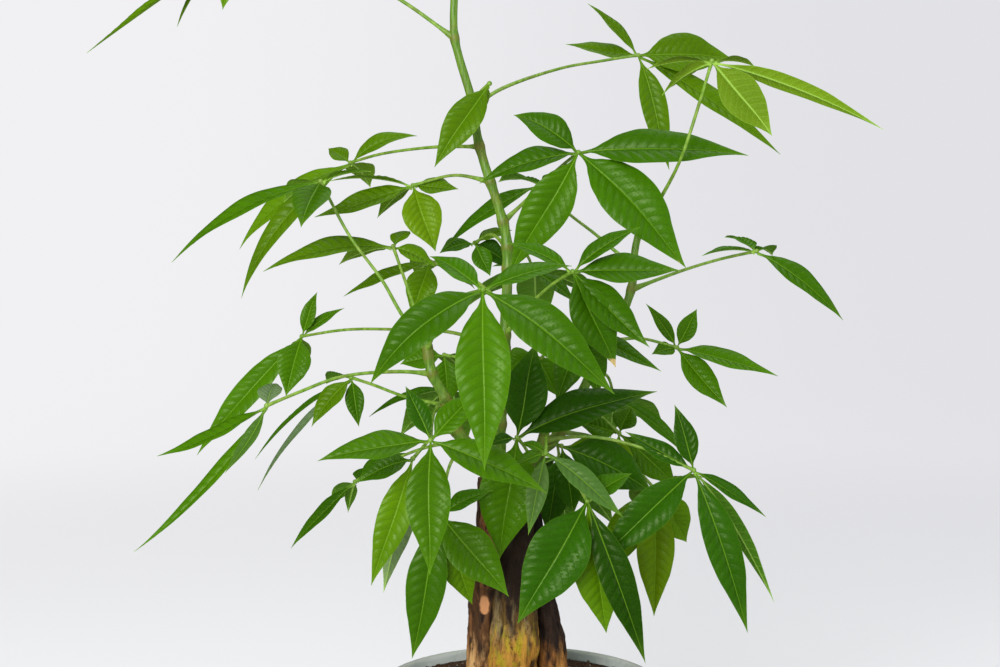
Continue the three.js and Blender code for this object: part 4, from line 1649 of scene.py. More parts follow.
@dataclass
class Foliage:
    """Every palmate leaf of the plant, grown by one tree."""

    leaves: tuple[Leaf, ...] = LEAVES
    stalk_radius: float = 0.85 * MM
    foot_radius: float = 1.9 * MM
    hub_radius: float = 1.5 * MM
    hub_offset: float = 3.8 * MM / 3
    fold: float = 0.36
    curl: float = 0.17
    wave: float = 0.05
    puff: float = 0.1
    thickness: float = 0.5 * MM
    sway: float = 0.018
    twist: float = 0.22
    profile_points: int = 28
    rings_per_vein: float = 4.0
    crisp_angle: float = 1.4
    foot_width: float = 0.05
    tip_width: float = 0.006
    rib_reach: float = 0.8 * MM
    rib_groove: float = 0.25 * MM
    rib_depth: float = 0.5 * MM
    rib_foot: float = 1.3 * MM
    rib_points: int = 40
    least_veins: float = 7
    veins_per_mm: float = 0.085
    stalk_sides: int = 10
    stalk_step: float = 3 * MM
    foot_reach: float = 7 * MM
    hub_reach: float = 5 * MM
    seed: int = 7
    outline: tuple[tuple[float, float], ...] = (
        (0.05, 0.09),
        (0.14, 0.4),
        (0.27, 0.82),
        (0.42, 1.0),
        (0.58, 0.88),
        (0.74, 0.55),
        (0.87, 0.25),
        (0.95, 0.08),
    )
    kept: ClassVar[tuple[str, ...]] = (
        "age",
        "wilt",
        "grey",
        "shade",
        "vein",
        "along",
        "off",
        "rim",
        "node",
    )

    def half_width(self, tree: GeometryTree, along: Any) -> Any:
        """Half a blade's width, by its outline.

        Args:
            tree: The tree to build in.
            along: The share of the way from the blade's foot to its tip.

        Returns:
            The half width's socket.
        """
        outline = tree.add("ShaderNodeFloatCurve", {"Value": along})
        points = outline.mapping.curves[0].points
        points[0].location = (0.0, self.foot_width)
        points[1].location = (1.0, self.tip_width)
        for at in self.outline:
            points.new(*at)
        outline.mapping.update()
        half = tree.math("MULTIPLY", tree.named("width"), 0.5)
        return tree.math("MULTIPLY", half, outline.outputs[0])

    def blade_faces(self, tree: GeometryTree, body: Any, upper: Any) -> Any:
        """Dresses both faces of the blades, splits their quads and leaves their rims crisp.

        Args:
            tree: The tree to build in.
            body: The blades' geometry.
            upper: A number above 0 on their upper faces.

        Returns:
            The blades' geometry.
        """
        body = tree.dress(body, tree.value("Under face", "Material"))
        side_up = tree.add("GeometryNodeFieldOnDomain", {"Value": upper}, domain="POINT").outputs[0]
        top = tree.math("GREATER_THAN", side_up, 0.0)
        body = tree.dress(body, tree.value("Upper face", "Material"), top)
        feeds = {"Mesh": body, "Selection": top}
        body = tree.add("GeometryNodeTriangulate", feeds, quad_method="FIXED").outputs[0]
        feeds = {"Mesh": body}
        body = tree.add("GeometryNodeTriangulate", feeds, quad_method="FIXED_ALTERNATE").outputs[0]
        bend = tree.add("GeometryNodeInputMeshEdgeAngle").outputs["Unsigned Angle"]
        crisp = tree.math("GREATER_THAN", bend, self.crisp_angle)
        feeds = {"Geometry": body, "Selection": crisp, "Shade Smooth": False}
        return tree.add("GeometryNodeSetShadeSmooth", feeds, domain="EDGE").outputs[0]

    def blades(self, tree: GeometryTree, ribs: Any) -> Any:
        """Blades along their midribs, puckered between their side veins.

        Args:
            tree: The tree to build in.
            ribs: The midribs' lines.

        Returns:
            The blades' geometry.
        """
        fold, curl, wave = tree.value("Fold"), tree.value("Curl"), tree.value("Wave")
        puff, thick = tree.value("Puff"), tree.value("Thickness")
        veins = tree.named("veins")
        line = tree.add("GeometryNodeMeshToCurve", {"Mesh": ribs}).outputs[0]
        count = tree.math("MULTIPLY_ADD", veins, tree.value("Rings per vein"), 1.0)
        line = tree.add("GeometryNodeResampleCurve", {"Curve": line, "Count": count}).outputs[0]
        body, kept, turn = tree.tube(line, tree.value("Profile points", "Int"), MM)
        along, length = kept.outputs["Along"], kept.outputs["Length"]

        swing = tree.math("MULTIPLY_ADD", turn, 2.0, -1.0)
        flat = tree.math("MULTIPLY_ADD", tree.math("ABSOLUTE", swing), 2.0, -1.0)
        out = tree.math("POWER", tree.math("ABSOLUTE", flat), 1.35)
        across = tree.math("MULTIPLY", out, tree.math("SIGN", flat))
        upper = tree.math("SINE", tree.math("MULTIPLY", turn, 2 * math.pi))
        lower = tree.math("LESS_THAN", upper, -0.001)

        half = self.half_width(tree, along)
        off = tree.math("MULTIPLY", half, out)

        lean = tree.math("MULTIPLY_ADD", out, 0.4, 0.32)
        drift = tree.math("MULTIPLY", tree.math("DIVIDE", off, length), lean)
        phase = tree.math("MULTIPLY", tree.math("SUBTRACT", along, drift), veins)
        pillow = tree.math("SINE", tree.math("MULTIPLY", phase, math.pi))
        pillow = tree.math("POWER", tree.math("ABSOLUTE", pillow), 1.3)
        inside = tree.math("MULTIPLY", tree.math("MULTIPLY", out, 4.0), tree.math("SUBTRACT", 1.0, out))
        raised = tree.math("MULTIPLY", tree.math("MULTIPLY", pillow, inside), puff)
        shape = tree.math("MULTIPLY_ADD", out, fold, raised)
        shape = tree.math("SUBTRACT", shape, tree.math("MULTIPLY", tree.math("POWER", out, 2.6), curl))
        ripple = tree.math("MULTIPLY_ADD", along, 15.0, tree.math("MULTIPLY", tree.named("shade"), 25.0))
        ripple = tree.math("SINE", tree.math("ADD", ripple, tree.math("SIGN", flat)))
        ripple = tree.math("MULTIPLY", ripple, tree.math("MULTIPLY", tree.math("POWER", out, 2.0), wave))
        lift = tree.math("MULTIPLY", tree.math("ADD", shape, ripple), half)

        away = tree.math("POWER", tree.math("DIVIDE", off, self.rib_reach), 2.0)
        near = tree.math("EXPONENT", tree.math("MULTIPLY", away, -1.0))
        groove = tree.math("MULTIPLY", near, self.rib_groove)
        foot = tree.span(along, 0.0, 0.09, self.rib_foot, 0.0)
        rib = tree.math("MULTIPLY_ADD", tree.math("SUBTRACT", 1.0, along), self.rib_depth, foot)
        solid = tree.math("SUBTRACT", 1.0, tree.math("POWER", out, 6.0))
        below = tree.math("MULTIPLY_ADD", solid, thick, tree.math("MULTIPLY", rib, near))
        sunk = tree.add("ShaderNodeMix", {"Factor": lower, 2: groove, 3: below}).outputs[0]
        height = tree.math("SUBTRACT", lift, sunk)

        forward = kept.outputs["Forward"]
        up = tree.named("up", "FLOAT_VECTOR")
        side = tree.vector("NORMALIZE", tree.vector("CROSS_PRODUCT", up, forward))
        over = tree.vector("CROSS_PRODUCT", forward, side)
        aside = tree.vector("SCALE", side, tree.math("MULTIPLY", across, half))
        spot = tree.vector("ADD", kept.outputs["Centre"], aside)
        spot = tree.vector("ADD", spot, tree.vector("SCALE", over, height))
        body = tree.add("GeometryNodeSetPosition", {"Geometry": body, "Position": spot}).outputs[0]
        rim = tree.math("DIVIDE", tree.math("SUBTRACT", half, off), MM)
        values = {"vein": phase, "along": along, "off": tree.math("DIVIDE", off, MM), "rim": rim}
        return self.blade_faces(tree, tree.store(body, values), upper)

    def tree(self) -> GeometryTree:
        """The tree that turns a leaf's lines into blades, stalk and hub.

        Returns:
            The tree.
        """
        tree = GeometryTree("palmate_leaf")
        stalk_face = tree.value("Stalk", "Material")
        feeds = {"Geometry": tree.entry.outputs["Geometry"], "Selection": tree.named("blade")}
        parts = tree.add("GeometryNodeSeparateGeometry", feeds)
        blades = self.blades(tree, parts.outputs["Selection"])
        line = tree.add("GeometryNodeMeshToCurve", {"Mesh": parts.outputs["Inverted"]}).outputs[0]
        stalk, kept, _ = tree.tube(line, self.stalk_sides, tree.named("girth"))
        stalk = tree.store(stalk, {"along": kept.outputs["Along"]})
        end = tree.add("GeometryNodeCurveEndpointSelection", {"Start Size": 0, "End Size": 1}).outputs[0]
        feeds = {"Radius": tree.value("Hub radius"), "Subdivisions": 3}
        knob = tree.add("GeometryNodeMeshIcoSphere", feeds).outputs[0]
        feeds = {"Points": line, "Selection": end, "Instance": knob}
        hub = tree.add("GeometryNodeInstanceOnPoints", feeds).outputs[0]
        hub = tree.add("GeometryNodeRealizeInstances", {"Geometry": hub}).outputs[0]
        tree.finish(blades, tree.dress(stalk, stalk_face), tree.dress(hub, stalk_face))
        return tree

    def blade_line(self, hub: np.ndarray, leaflet: Leaflet, age: AgeAndLight, draw: np.random.Generator) -> Line:
        """A leaflet's midrib with what its blade needs at each point.

        Args:
            hub: The hub's place in metres.
            leaflet: The leaflet.
            age: Its age, and the light painted into its green.
            draw: The seeded source of its small irregularities.

        Returns:
            The line's values by name.
        """
        reach = np.array((leaflet.x, leaflet.y, leaflet.z)) * MM
        length = float(np.linalg.norm(reach))
        along = reach / length
        angle = math.radians(leaflet.face)
        up = np.array((0.0, -math.cos(angle), math.sin(angle)))
        up -= along * up.dot(along)
        up /= np.linalg.norm(up)
        side = np.cross(up, along)
        start, tip = hub + along * self.hub_offset, hub + reach
        middle = (start + tip) / 2 + up * 2 * leaflet.bow * length
        share = np.linspace(0.0, 1.0, self.rib_points)[:, None]
        places = (1 - share) ** 2 * start + 2 * share * (1 - share) * middle + share**2 * tip
        sway = self.sway * length * draw.uniform(-1, 1)
        places += side * sway * np.sin(math.pi * share) * np.sin(math.pi * (share + draw.uniform(0, 0.6)))
        turn = self.twist * draw.uniform(-1, 1) * (share - 0.25)
        ups = up * np.cos(turn) + side * np.sin(turn)
        veins = round(self.least_veins + self.veins_per_mm * length / MM)
        count = len(places)
        fixed = {
            "width": leaflet.width * MM,
            "age": age.value,
            "wilt": leaflet.wilt,
            "grey": leaflet.grey,
            "shade": draw.uniform(),
            "veins": veins,
            "blade": 1.0,
            "girth": MM,
            "node": 0.0,
        }
        values = {name: np.full(count, value) for name, value in fixed.items()}
        return {"place": places, "up": ups, **values}

    def stalk_line(self, leaf: Leaf) -> Line:
        """A leaf stalk's line, thicker at its foot and under its hub.

        Args:
            leaf: The leaf.

        Returns:
            The line's values by name.
        """
        places = even_route(np.array(leaf.stalk) * MM, self.stalk_step)
        walked = np.linspace(0.0, 1.0, len(places))
        length = float(np.linalg.norm(np.diff(places, axis=0), axis=1).sum())
        from_foot, from_hub = walked * length, (1 - walked) * length
        foot = np.exp(-((from_foot / self.foot_reach) ** 2))
        hub = np.exp(-((from_hub / self.hub_reach) ** 2))
        girth = self.stalk_radius * (1.35 - 0.35 * walked + 0.06 * np.sin(walked * 9))
        girth = girth + (self.foot_radius - self.stalk_radius) * foot
        girth = girth + 0.45 * (self.hub_radius - self.stalk_radius) * hub
        count = len(places)
        zero = np.zeros(count)
        fixed = {
            "width": MM,
            "age": leaf.age.value,
            "wilt": 0.0,
            "grey": 0.0,
            "shade": 0.5,
            "veins": 1.0,
        }
        values = {name: np.full(count, value) for name, value in fixed.items()}
        ups = np.tile((0.0, 0.0, 1.0), (count, 1))
        node = np.maximum(foot, 0.25 * hub)
        return {"place": places, "up": ups, **values, "blade": zero, "girth": girth, "node": node}

    def build(self) -> None:
        """Grows and dresses every leaf, each in its own node's place."""
        tree = self.tree()
        inputs = {
            "Fold": self.fold,
            "Curl": self.curl,
            "Wave": self.wave,
            "Puff": self.puff,
            "Thickness": self.thickness,
            "Rings per vein": self.rings_per_vein,
            "Profile points": self.profile_points,
            "Hub radius": self.hub_radius,
            "Upper face": LEAF_UPPER.material(),
            "Under face": LEAF_UNDER.material(),
            "Stalk": STALK.material(),
        }
        for order, leaf in enumerate(self.leaves):
            draw = np.random.default_rng(self.seed + order)
            hub = np.array(leaf.stalk[-1]) * MM
            lines = [self.stalk_line(leaf)]
            for leaflet in leaf.leaflets:
                lines.append(self.blade_line(hub, leaflet, leaflet.age or leaf.age, draw))
            piece = tree.grow(leaf.name + "_foliage", line_mesh(leaf.name, lines), inputs, self.kept)
            add_piece(piece, LEAF_UPPER, leaf.name)


@dataclass
class StemWood:
    """The tree that gives a stem its body: round, ridged along its length, cut flat at its ends."""

    kept: ClassVar[tuple[str, ...]] = ("relief", "node")
    length_scale: float = 26.0
    ridge_scale: float = 2.6
    lump_scale: float = 1.1
    relief_share: float = 4.0
    level_slope: float = 0.98

    def tree(self) -> GeometryTree:
        """Builds the tree.

        Returns:
            The tree.
        """
        tree = GeometryTree("ridged_stem")
        bark, sawn = tree.value("Bark", "Material"), tree.value("Sawn", "Material")
        lowest, highest = tree.value("Lowest"), tree.value("Highest")
        ridge, lump, seed = tree.value("Ridge depth"), tree.value("Lump depth"), tree.value("Seed")
        line = tree.add("GeometryNodeMeshToCurve", {"Mesh": tree.entry.outputs["Geometry"]}).outputs[0]
        feeds = {"Curve": line, "Count": tree.value("Rings", "Int")}
        line = tree.add("GeometryNodeResampleCurve", feeds).outputs[0]
        girth = tree.named("girth")
        body, kept, turn = tree.tube(line, tree.value("Sides", "Int"), girth)
        angle = tree.math("MULTIPLY", turn, 2 * math.pi)
        walked = tree.math("MULTIPLY", kept.outputs["Along"], kept.outputs["Length"])
        far = tree.math("MULTIPLY_ADD", walked, self.length_scale, seed)
        feeds = {0: tree.math("COSINE", angle), 1: tree.math("SINE", angle), 2: far}
        round_place = tree.add("ShaderNodeCombineXYZ", feeds).outputs[0]
        ridges = tree.math("SUBTRACT", tree.noise(round_place, self.ridge_scale, 4.0, 0.55), 0.5)
        lump_place = tree.vector("MULTIPLY", round_place, (1.0, 1.0, 1.6))
        lumps = tree.math("SUBTRACT", tree.noise(lump_place, self.lump_scale, 2.0), 0.5)
        spot = tree.add("GeometryNodeInputPosition").outputs[0]
        outward = tree.vector("NORMALIZE", tree.vector("SUBTRACT", spot, kept.outputs["Centre"]))
        rise = tree.math("MULTIPLY_ADD", ridges, ridge, tree.math("MULTIPLY", lumps, lump))
        offset = tree.vector("SCALE", outward, tree.math("MULTIPLY", rise, girth))
        body = tree.add("GeometryNodeSetPosition", {"Geometry": body, "Offset": offset}).outputs[0]
        parts = tree.add("ShaderNodeSeparateXYZ", {0: spot})
        level = tree.math("MINIMUM", tree.math("MAXIMUM", parts.outputs[2], lowest), highest)
        flat = tree.add("ShaderNodeCombineXYZ", {0: parts.outputs[0], 1: parts.outputs[1], 2: level})
        feeds = {"Geometry": body, "Position": flat.outputs[0]}
        body = tree.add("GeometryNodeSetPosition", feeds).outputs[0]
        body = tree.store(body, {"relief": tree.math("MULTIPLY", ridges, self.relief_share)})
        body = tree.dress(body, bark)
        normal = tree.add("ShaderNodeSeparateXYZ", {0: tree.add("GeometryNodeInputNormal").outputs[0]})
        level_face = tree.math("GREATER_THAN", normal.outputs[2], self.level_slope)
        tree.finish(tree.dress(body, sawn, level_face))
        return tree


@dataclass(frozen=True)
class TrunkStem:
    """One trunk stem: its angle round the bundle, its reach and radius at foot and top, and its bark.

    The angle is in degrees, and the lengths are in millimetres.
    """

    name: str
    angle: float
    reach: tuple[float, float]
    radius: tuple[float, float]
    bark: Bark


@dataclass
class Trunk:
    """Four stems that lean on each other round a slowly turning bundle."""

    stems: tuple[TrunkStem, ...] = (
        TrunkStem("trunk_stem_front", 252, (13, 12.5), (21, 8.6), FRONT_BARK),
        TrunkStem("trunk_stem_left", 182, (23, 12.5), (12, 8.6), LEFT_BARK),
        TrunkStem("trunk_stem_right", 2, (30, 12.5), (12, 8.2), RIGHT_BARK),
        TrunkStem("trunk_stem_back", 80, (17, 12.5), (13, 8.6), BACK_BARK),
    )
    foot_z: float = 104.0
    top_z: float = 283.0
    sawn_off: float = 4.0
    foot_axis: tuple[float, float] = (-3.0, 1.0)
    top_axis: tuple[float, float] = (-9.0, 0.0)
    twist: float = math.radians(50)
    ridge: float = 0.42
    lump: float = 0.3
    taper: float = 0.8
    bulge: float = 0.05
    bulges: float = 14
    points: int = 60
    sides: int = 72
    rings: int = 120
    first_seed: float = 11.0
    next_seed: float = 7.0

    def line(self, stem: TrunkStem) -> Line:
        """A stem's axis and girth, by the rule that its solid follows.

        Args:
            stem: The stem.

        Returns:
            The line's values by name.
        """
        share = np.linspace(0.0, 1.0, self.points)
        turn = math.radians(stem.angle) + self.twist * share
        off = stem.reach[0] + (stem.reach[1] - stem.reach[0]) * share
        x = self.foot_axis[0] + (self.top_axis[0] - self.foot_axis[0]) * share + off * np.cos(turn)
        y = self.foot_axis[1] + (self.top_axis[1] - self.foot_axis[1]) * share + off * np.sin(turn)
        z = self.foot_z + (self.top_z + self.sawn_off - self.foot_z) * share
        girth = stem.radius[0] + (stem.radius[1] - stem.radius[0]) * share**self.taper
        girth = girth * (1 + self.bulge * np.sin(share * self.bulges + stem.angle))
        places = np.column_stack([x, y, z]) * MM
        return {"place": places, "girth": girth * MM, "node": np.zeros(self.points)}

    def build(self, wood: GeometryTree) -> None:
        """Grows and dresses the four stems.

        Args:
            wood: The tree that gives a stem its body.
        """
        for order, stem in enumerate(self.stems):
            inputs = {
                "Bark": stem.bark.material(),
                "Sawn": SAWN.material(),
                "Lowest": 0.0,
                "Highest": self.top_z * MM,
                "Ridge depth": self.ridge,
                "Lump depth": self.lump,
                "Seed": self.first_seed + self.next_seed * order,
                "Rings": self.rings,
                "Sides": self.sides,
            }
            seed = line_mesh(stem.name, [self.line(stem)])
            piece = wood.grow(stem.name + "_bark", seed, inputs, StemWood.kept)
            add_piece(piece, stem.bark, stem.name)


@dataclass(frozen=True)
class Shoot:
    """A green shoot's route, and its radius at foot and tip, in millimetres."""

    name: str
    route: tuple[Triple, ...]
    radius: tuple[float, float]


@dataclass
class Shoots:
    """The green shoots that stand on the trunk and carry the leaves."""

    shoots: tuple[Shoot, ...] = (
        Shoot(
            "shoot_left",
            (
                (-17, -10, 279),
                (-25, -15, 292),
                (-34, -19, 306),
                (-41, -20, 317),
                (-46, -21, 334),
                (-53, -22, 347),
                (-56, -21, 364),
            ),
            (4.0, 2.7),
        ),
        Shoot(
            "shoot_centre",
            (
                (-17, 9, 279),
                (-13, 3, 296),
                (-13, 0, 311),
                (-10, 0, 368),
                (-9, 0, 425),
                (-15, 0, 449),
                (-22, 1, 470),
                (-26, 2, 485),
                (-30, 2, 509),
                (-37, 1, 533),
                (-40, 1, 546),
                (-40, 2, 570),
                (-37, 3, 602),
                (-34, 5, 634),
            ),
            (3.7, 1.9),
        ),
        Shoot(
            "shoot_right",
            (
                (-2, 9, 279),
                (10, 12, 293),
                (24, 12, 308),
                (38, 11, 334),
                (49, 10, 360),
                (59, 10, 375),
                (65, 11, 389),
                (68, 12, 402),
                (69, 12, 419),
                (72, 11, 433),
            ),
            (3.5, 2.1),
        ),
        Shoot("shoot_front", ((-2, -10, 279), (4, -15, 293), (11, -20, 303), (14, -22, 314)), (3.5, 2.5)),
    )
    node_reach: float = 3.2 * MM
    node_swell: float = 0.26
    step: float = 2 * MM
    ridge: float = 0.16
    lump: float = 0.12
    sides: int = 24
    first_seed: float = 41.0
    next_seed: float = 5.0

    def line(self, shoot: Shoot) -> Line:
        """A shoot's axis, swollen where each leaf stalk leaves it.

        Args:
            shoot: The shoot.

        Returns:
            The line's values by name.
        """
        places = even_route(np.array(shoot.route) * MM, self.step)
        share = np.linspace(0.0, 1.0, len(places))
        node = np.zeros(len(places))
        for leaf in LEAVES:
            if leaf.shoot == shoot.name:
                away = np.linalg.norm(places - np.array(leaf.stalk[0]) * MM, axis=1)
                node = np.maximum(node, np.exp(-((away / self.node_reach) ** 2)))
        girth = (shoot.radius[0] + (shoot.radius[1] - shoot.radius[0]) * share) * MM
        return {"place": places, "girth": girth * (1 + self.node_swell * node), "node": node}

    def build(self, wood: GeometryTree) -> None:
        """Grows and dresses the shoots.

        Args:
            wood: The tree that gives a stem its body.
        """
        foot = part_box("shoot_centre")[0].z
        for order, shoot in enumerate(self.shoots):
            line = self.line(shoot)
            inputs = {
                "Bark": SHOOT.material(),
                "Sawn": SHOOT.material(),
                "Lowest": foot,
                "Highest": 1.0,
                "Ridge depth": self.ridge,
                "Lump depth": self.lump,
                "Seed": self.first_seed + self.next_seed * order,
                "Rings": 2 * len(line["place"]),
                "Sides": self.sides,
            }
            piece = wood.grow(shoot.name + "_stem", line_mesh(shoot.name, [line]), inputs, StemWood.kept)
            add_piece(piece, SHOOT, shoot.name)


@dataclass(frozen=True)
class Grain:
    """A kind of soil grain: how many lie on a square metre, its size in millimetres, and its seed."""

    name: str
    density: float
    size: float
    seed: int


@dataclass
class Pot:
    """The glazed pot, in millimetres: a plain cone with a rounded rim, filled with soil."""

    height: float = 154.0
    rim_radius: float = 87.5
    foot_radius: float = 62.0
    wall: float = 4.5
    floor: float = 7.0
    edge: float = 2.0
    gap: float = 0.3
    soil_depth: float = 6.0
    lump: float = 2.2
    fine_lump: float = 0.9
    segments: int = 144
    soil_rings: int = 44
    foot_inset: float = 7.0
    foot_corner: float = 2.0
    bowl_corner: float = 3.0
    rim_margin: float = 1.5
    wall_rows: int = 46
    bowl_rows: int = 20
    throwing: float = 0.12
    thin_reach: float = 2.2
    grains: tuple[Grain, ...] = (
        Grain("soil_crumbs", 52000.0, 0.9, 3),
        Grain("soil_clods", 9000.0, 2.1, 8),
    )
    grain_turn: float = 6.28
    least_grain: Triple = (0.5, 0.5, 0.35)
    largest_grain: Triple = (1.5, 1.4, 0.9)

    def arc(
        self, centre: tuple[float, float], radius: float, start: float, end: float
    ) -> list[tuple[float, float]]:
        """Points of a rounded corner.

        Args:
            centre: Radius and height of its centre.
            radius: The corner's radius.
            start: Where it starts, in degrees from the outward direction.
            end: Where it ends.

        Returns:
            Radius and height of each point.
        """
        angles = np.radians(np.linspace(start, end, 7))
        return [(centre[0] + radius * math.cos(a), centre[1] + radius * math.sin(a)) for a in angles]

    def outer(self, z: float) -> float:
        """The outer wall's radius.

        Args:
            z: The height.

        Returns:
            The radius.
        """
        share = (z - self.edge) / (self.height - 2 * self.edge)
        return self.foot_radius + (self.rim_radius - self.foot_radius) * share

    def inner(self, z: float) -> float:
        """The inner wall's radius.

        Args:
            z: The height.

        Returns:
            The radius.
        """
        share = (z - self.floor) / (self.height - self.edge - self.floor)
        low, high = self.foot_radius - self.wall, self.rim_radius - self.wall
        return low + (high - low) * share

    def build_pot(self) -> None:
        """Turns the pot, with faint throwing lines in its wall."""
        top = self.height - self.wall / 2
        last = top - self.rim_margin
        corner = self.foot_corner
        outer = [(0, 0), (self.foot_radius - self.foot_inset, 0)]
        outer += self.arc((self.foot_radius - corner, corner), corner, -90, -10)
        for z in np.linspace(self.edge + corner, last, self.wall_rows):
            line = self.throwing * math.sin(z * 0.55) * math.sin(z * 0.09)
            outer.append((self.outer(z) + line, z))
        rim = self.arc((self.rim_radius - self.wall / 2, top), self.wall / 2, 0, 180)
        corner = self.bowl_corner
        low = self.floor + corner
        inner = [(self.inner(z), z) for z in np.linspace(last, low, self.bowl_rows)]
        base = self.inner(self.floor) - corner
        turns = np.radians((30, 60, 90))
        bowl = [(base + corner * math.cos(a), low - corner * math.sin(a)) for a in turns]
        profile = np.array([*outer, *rim, *inner, *bowl, (0, self.floor)]) * MM
        mesh = lathe_mesh("pot_glazed", profile, self.segments)
        piece = put("pot_glazed", mesh)
        heights = np.empty(3 * len(mesh.vertices), np.float32)
        mesh.vertices.foreach_get("co", heights)
        below = self.height * MM - heights[2::3]
        thin = np.clip(1 - below / (self.thin_reach * MM), 0, 1).astype(np.float32)
        mesh.attributes.new("thin", "FLOAT", "POINT").data.foreach_set("value", thin)
        mesh.materials.append(GLAZE.material())
        add_piece(piece, GLAZE, "pot")

    def ground(self, x: float, y: float) -> float:
        """How far the soil stands above its level, by its solid's own waves and finer ones.

        Args:
            x: The place's x.
            y: The place's y.

        Returns:
            The height above the level.
        """
        reach = self.inner(self.height - self.soil_depth) - 2 * self.gap
        edge = max(0.0, 1 - (x * x + y * y) / reach**2)
        waves = math.sin(x / 11 + 1) * math.cos(y / 9) + 0.6 * math.sin((x - y) / 7)
        fine = noise.fractal(Vector((x / 9, y / 9, 3.0)), 1.0, 2.0, 4)
        return (self.lump * waves + self.fine_lump * fine) * edge**0.5

    def build_soil(self) -> bpy.types.Mesh:
        """Makes the body of soil.

        Returns:
            A copy of its top for crumbs to lie on.
        """
        level = self.height - self.soil_depth
        foot = self.floor + self.gap
        reach = self.inner(level) - 2 * self.gap
        rings = [(reach * (1 - i / self.soil_rings), level) for i in range(self.soil_rings + 1)]
        low = self.inner(foot) - 2 * self.gap
        profile = np.array([(0, foot), (low, foot), (low + (reach - low) / 2, (foot + level) / 2), *rings])
        mesh = lathe_mesh("soil_body", profile * MM, self.segments)
        for vertex in mesh.vertices:
            if vertex.co.z > (level - 1) * MM:
                vertex.co.z += self.ground(vertex.co.x / MM, vertex.co.y / MM) * MM
        mesh.attributes.new("shade", "FLOAT", "POINT")
        mesh.materials.append(SOIL.material())
        add_piece(put("soil_body", mesh), SOIL, "soil")
        top = mesh.copy()
        least = (level - 4) * MM
        upper = [face for face in mesh.polygons if face.center.z > least and face.normal.z > 0.5]
        faces = [tuple(face.vertices) for face in upper]
        places = [tuple(vertex.co) for vertex in mesh.vertices]
        top.clear_geometry()
        top.from_pydata(places, [], faces)
        return top

    def crumb_tree(self) -> GeometryTree:
        """The tree that strews lumps of soil over a surface.

        Returns:
            The tree.
        """
        tree = GeometryTree("strewn_crumbs")
        size, seed = tree.value("Size"), tree.value("Seed", "Int")
        feeds = {"Mesh": tree.entry.outputs["Geometry"], "Density": tree.value("Density"), "Seed": seed}
        spots = tree.add("GeometryNodeDistributePointsOnFaces", feeds).outputs["Points"]
        lump = tree.add("GeometryNodeMeshIcoSphere", {"Radius": 1.0, "Subdivisions": 1}).outputs[0]
        spot = tree.add("GeometryNodeInputPosition").outputs[0]
        swell = tree.span(tree.noise(tree.vector("ADD", spot, (4.0, 9.0, 2.0)), 1.3), 0.2, 0.8, 0.55, 1.3)
        feeds = {"Geometry": lump, "Position": tree.vector("SCALE", spot, swell)}
        lump = tree.add("GeometryNodeSetPosition", feeds).outputs[0]
        feeds = {"Min": (0.0,) * 3, "Max": (self.grain_turn,) * 3, "Seed": seed}
        turn = tree.add("FunctionNodeRandomValue", feeds, data_type="FLOAT_VECTOR").outputs[0]
        feeds = {"Min": self.least_grain, "Max": self.largest_grain, "Seed": seed}
        grow = tree.add("FunctionNodeRandomValue", feeds, data_type="FLOAT_VECTOR").outputs[0]
        scale = tree.vector("SCALE", grow, size)
        feeds = {"Points": spots, "Instance": lump, "Rotation": turn, "Scale": scale}
        strewn = tree.add("GeometryNodeInstanceOnPoints", feeds).outputs[0]
        shade = tree.add("FunctionNodeRandomValue", {"Seed": 5}).outputs[1]
        strewn = tree.store(strewn, {"shade": shade}, "INSTANCE")
        real = tree.add("GeometryNodeRealizeInstances", {"Geometry": strewn}).outputs[0]
        tree.finish(tree.dress(real, tree.value("Soil", "Material")))
        return tree

    def build(self) -> None:
        """Builds the pot, the soil and the crumbs on it."""
        self.build_pot()
        top = self.build_soil()
        tree = self.crumb_tree()
        for grain in self.grains:
            inputs = {
                "Size": grain.size * MM,
                "Density": grain.density,
                "Seed": grain.seed,
                "Soil": SOIL.material(),
            }
            piece = tree.grow(grain.name, top.copy(), inputs, ("shade",))
            add_piece(piece, SOIL)
        bpy.data.meshes.remove(top)


@dataclass(frozen=True)
class Lamp:
    """A soft rectangular light: its place, its width and height in metres, and its power in watts."""

    name: str
    place: Triple
    size: tuple[float, float]
    power: float


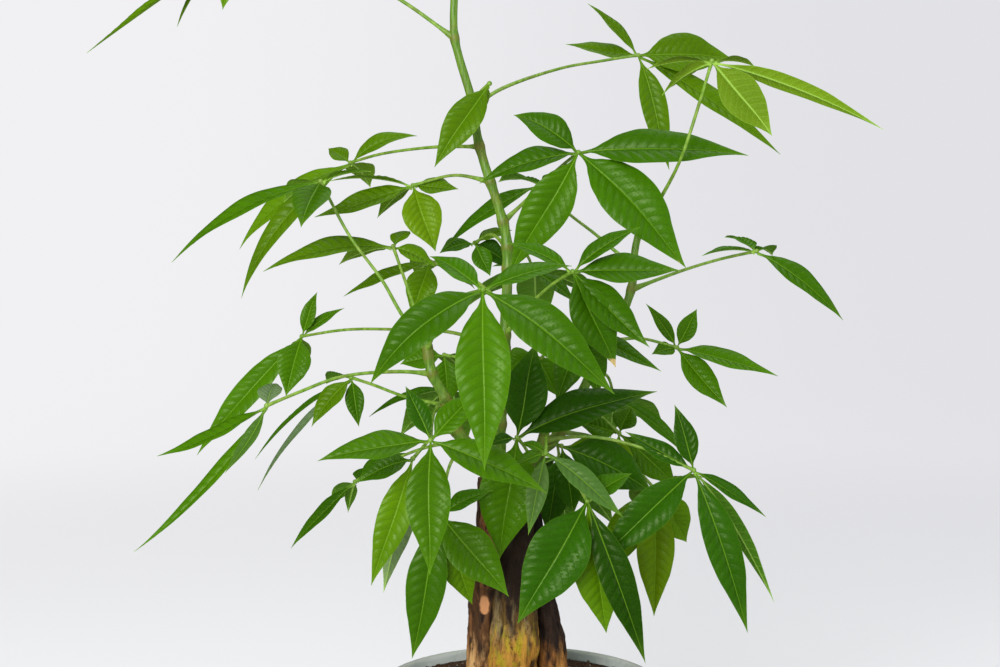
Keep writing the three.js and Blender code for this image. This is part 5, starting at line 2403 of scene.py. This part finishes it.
@dataclass
class Studio:
    """A pale round sweep, soft lights and the camera, in metres."""

    floor_radius: float = 3.0
    wall_radius: float = 4.6
    wall_height: float = 2.2
    sides: int = 128
    bend_steps: int = 24
    lamps: tuple[Lamp, ...] = (
        Lamp("window_front", (-0.9, -2.8, 1.25), (1.5, 1.2), 80.0),
        Lamp("softbox_top", (0.4, 0.3, 2.9), (2.4, 2.4), 34.0),
        Lamp("fill_right", (2.5, -0.6, 1.2), (1.4, 1.8), 10.0),
    )
    sky: Colour = (0.97, 0.985, 1.0, 1.0)
    sky_strength: float = 0.4
    lens: float = 60.0
    sensor_width: float = 36.0
    camera_place: Triple = (-0.0129, -1.0, 0.4495)
    camera_pitch: float = 4.6
    target: Triple = (0.0, 0.0, 0.36)

    def sweep(self) -> None:
        """A floor whose edge curves up into a wall all round."""
        bend = self.wall_radius - self.floor_radius
        angles = np.radians(np.linspace(-90, 0, self.bend_steps))
        curve = [(self.floor_radius + bend * math.cos(a), bend + bend * math.sin(a)) for a in angles]
        points = [(0.0, 0.0), (1.0, 0.0), (2.0, 0.0), *curve, (self.wall_radius, self.wall_height)]
        sides = self.sides
        angles = np.arange(sides) * (2 * math.pi / sides)
        places = [(r * math.cos(a), r * math.sin(a), z) for r, z in points[1:] for a in angles]
        faces = [tuple(range(sides))]
        for row in range(len(points) - 2):
            for column in range(sides):
                a, b = row * sides + column, row * sides + (column + 1) % sides
                faces.append((a, a + sides, b + sides, b))
        mesh = bpy.data.meshes.new("studio_sweep")
        mesh.from_pydata(places, [], faces)
        mesh.shade_smooth()
        mesh.materials.append(SWEEP.material())
        sweep = put("studio_sweep", mesh)
        sweep.visible_glossy = False

    def light(self, lamp: Lamp) -> None:
        """Hangs a light that faces the plant.

        Args:
            lamp: The light.
        """
        data = bpy.data.lights.new(lamp.name, "AREA")
        data.shape = "RECTANGLE"
        data.size, data.size_y = lamp.size
        data.energy = lamp.power
        light = put(lamp.name, data)
        light.location = lamp.place
        away = Vector(lamp.place) - Vector(self.target)
        light.rotation_euler = away.to_track_quat("Z", "Y").to_euler()

    def build(self) -> None:
        """Builds the sweep, lights the plant and places the camera."""
        scene = bpy.context.scene
        self.sweep()
        for lamp in self.lamps:
            self.light(lamp)
        world = bpy.data.worlds.new("studio_light")
        world.use_nodes = True
        background = world.node_tree.nodes["Background"]
        background.inputs["Color"].default_value = self.sky
        background.inputs["Strength"].default_value = self.sky_strength
        world.cycles_visibility.glossy = False
        scene.world = world
        data = bpy.data.cameras.new("camera")
        data.lens = self.lens
        data.sensor_width = self.sensor_width
        camera = put("camera", data)
        camera.location = self.camera_place
        tilt = math.radians(90 - self.camera_pitch)
        camera.rotation_euler = Matrix.Rotation(tilt, 3, "X").to_euler()
        scene.camera = camera
        scene.view_settings.view_transform = "Standard"


def main() -> None:
    """Builds the plant, its pot and the studio."""
    logging.basicConfig(level=logging.INFO, format="%(name)s %(message)s")
    Studio().build()
    Pot().build()
    wood = StemWood().tree()
    Trunk().build(wood)
    Shoots().build(wood)
    Foliage().build()


if __name__ == "__main__":
    main()
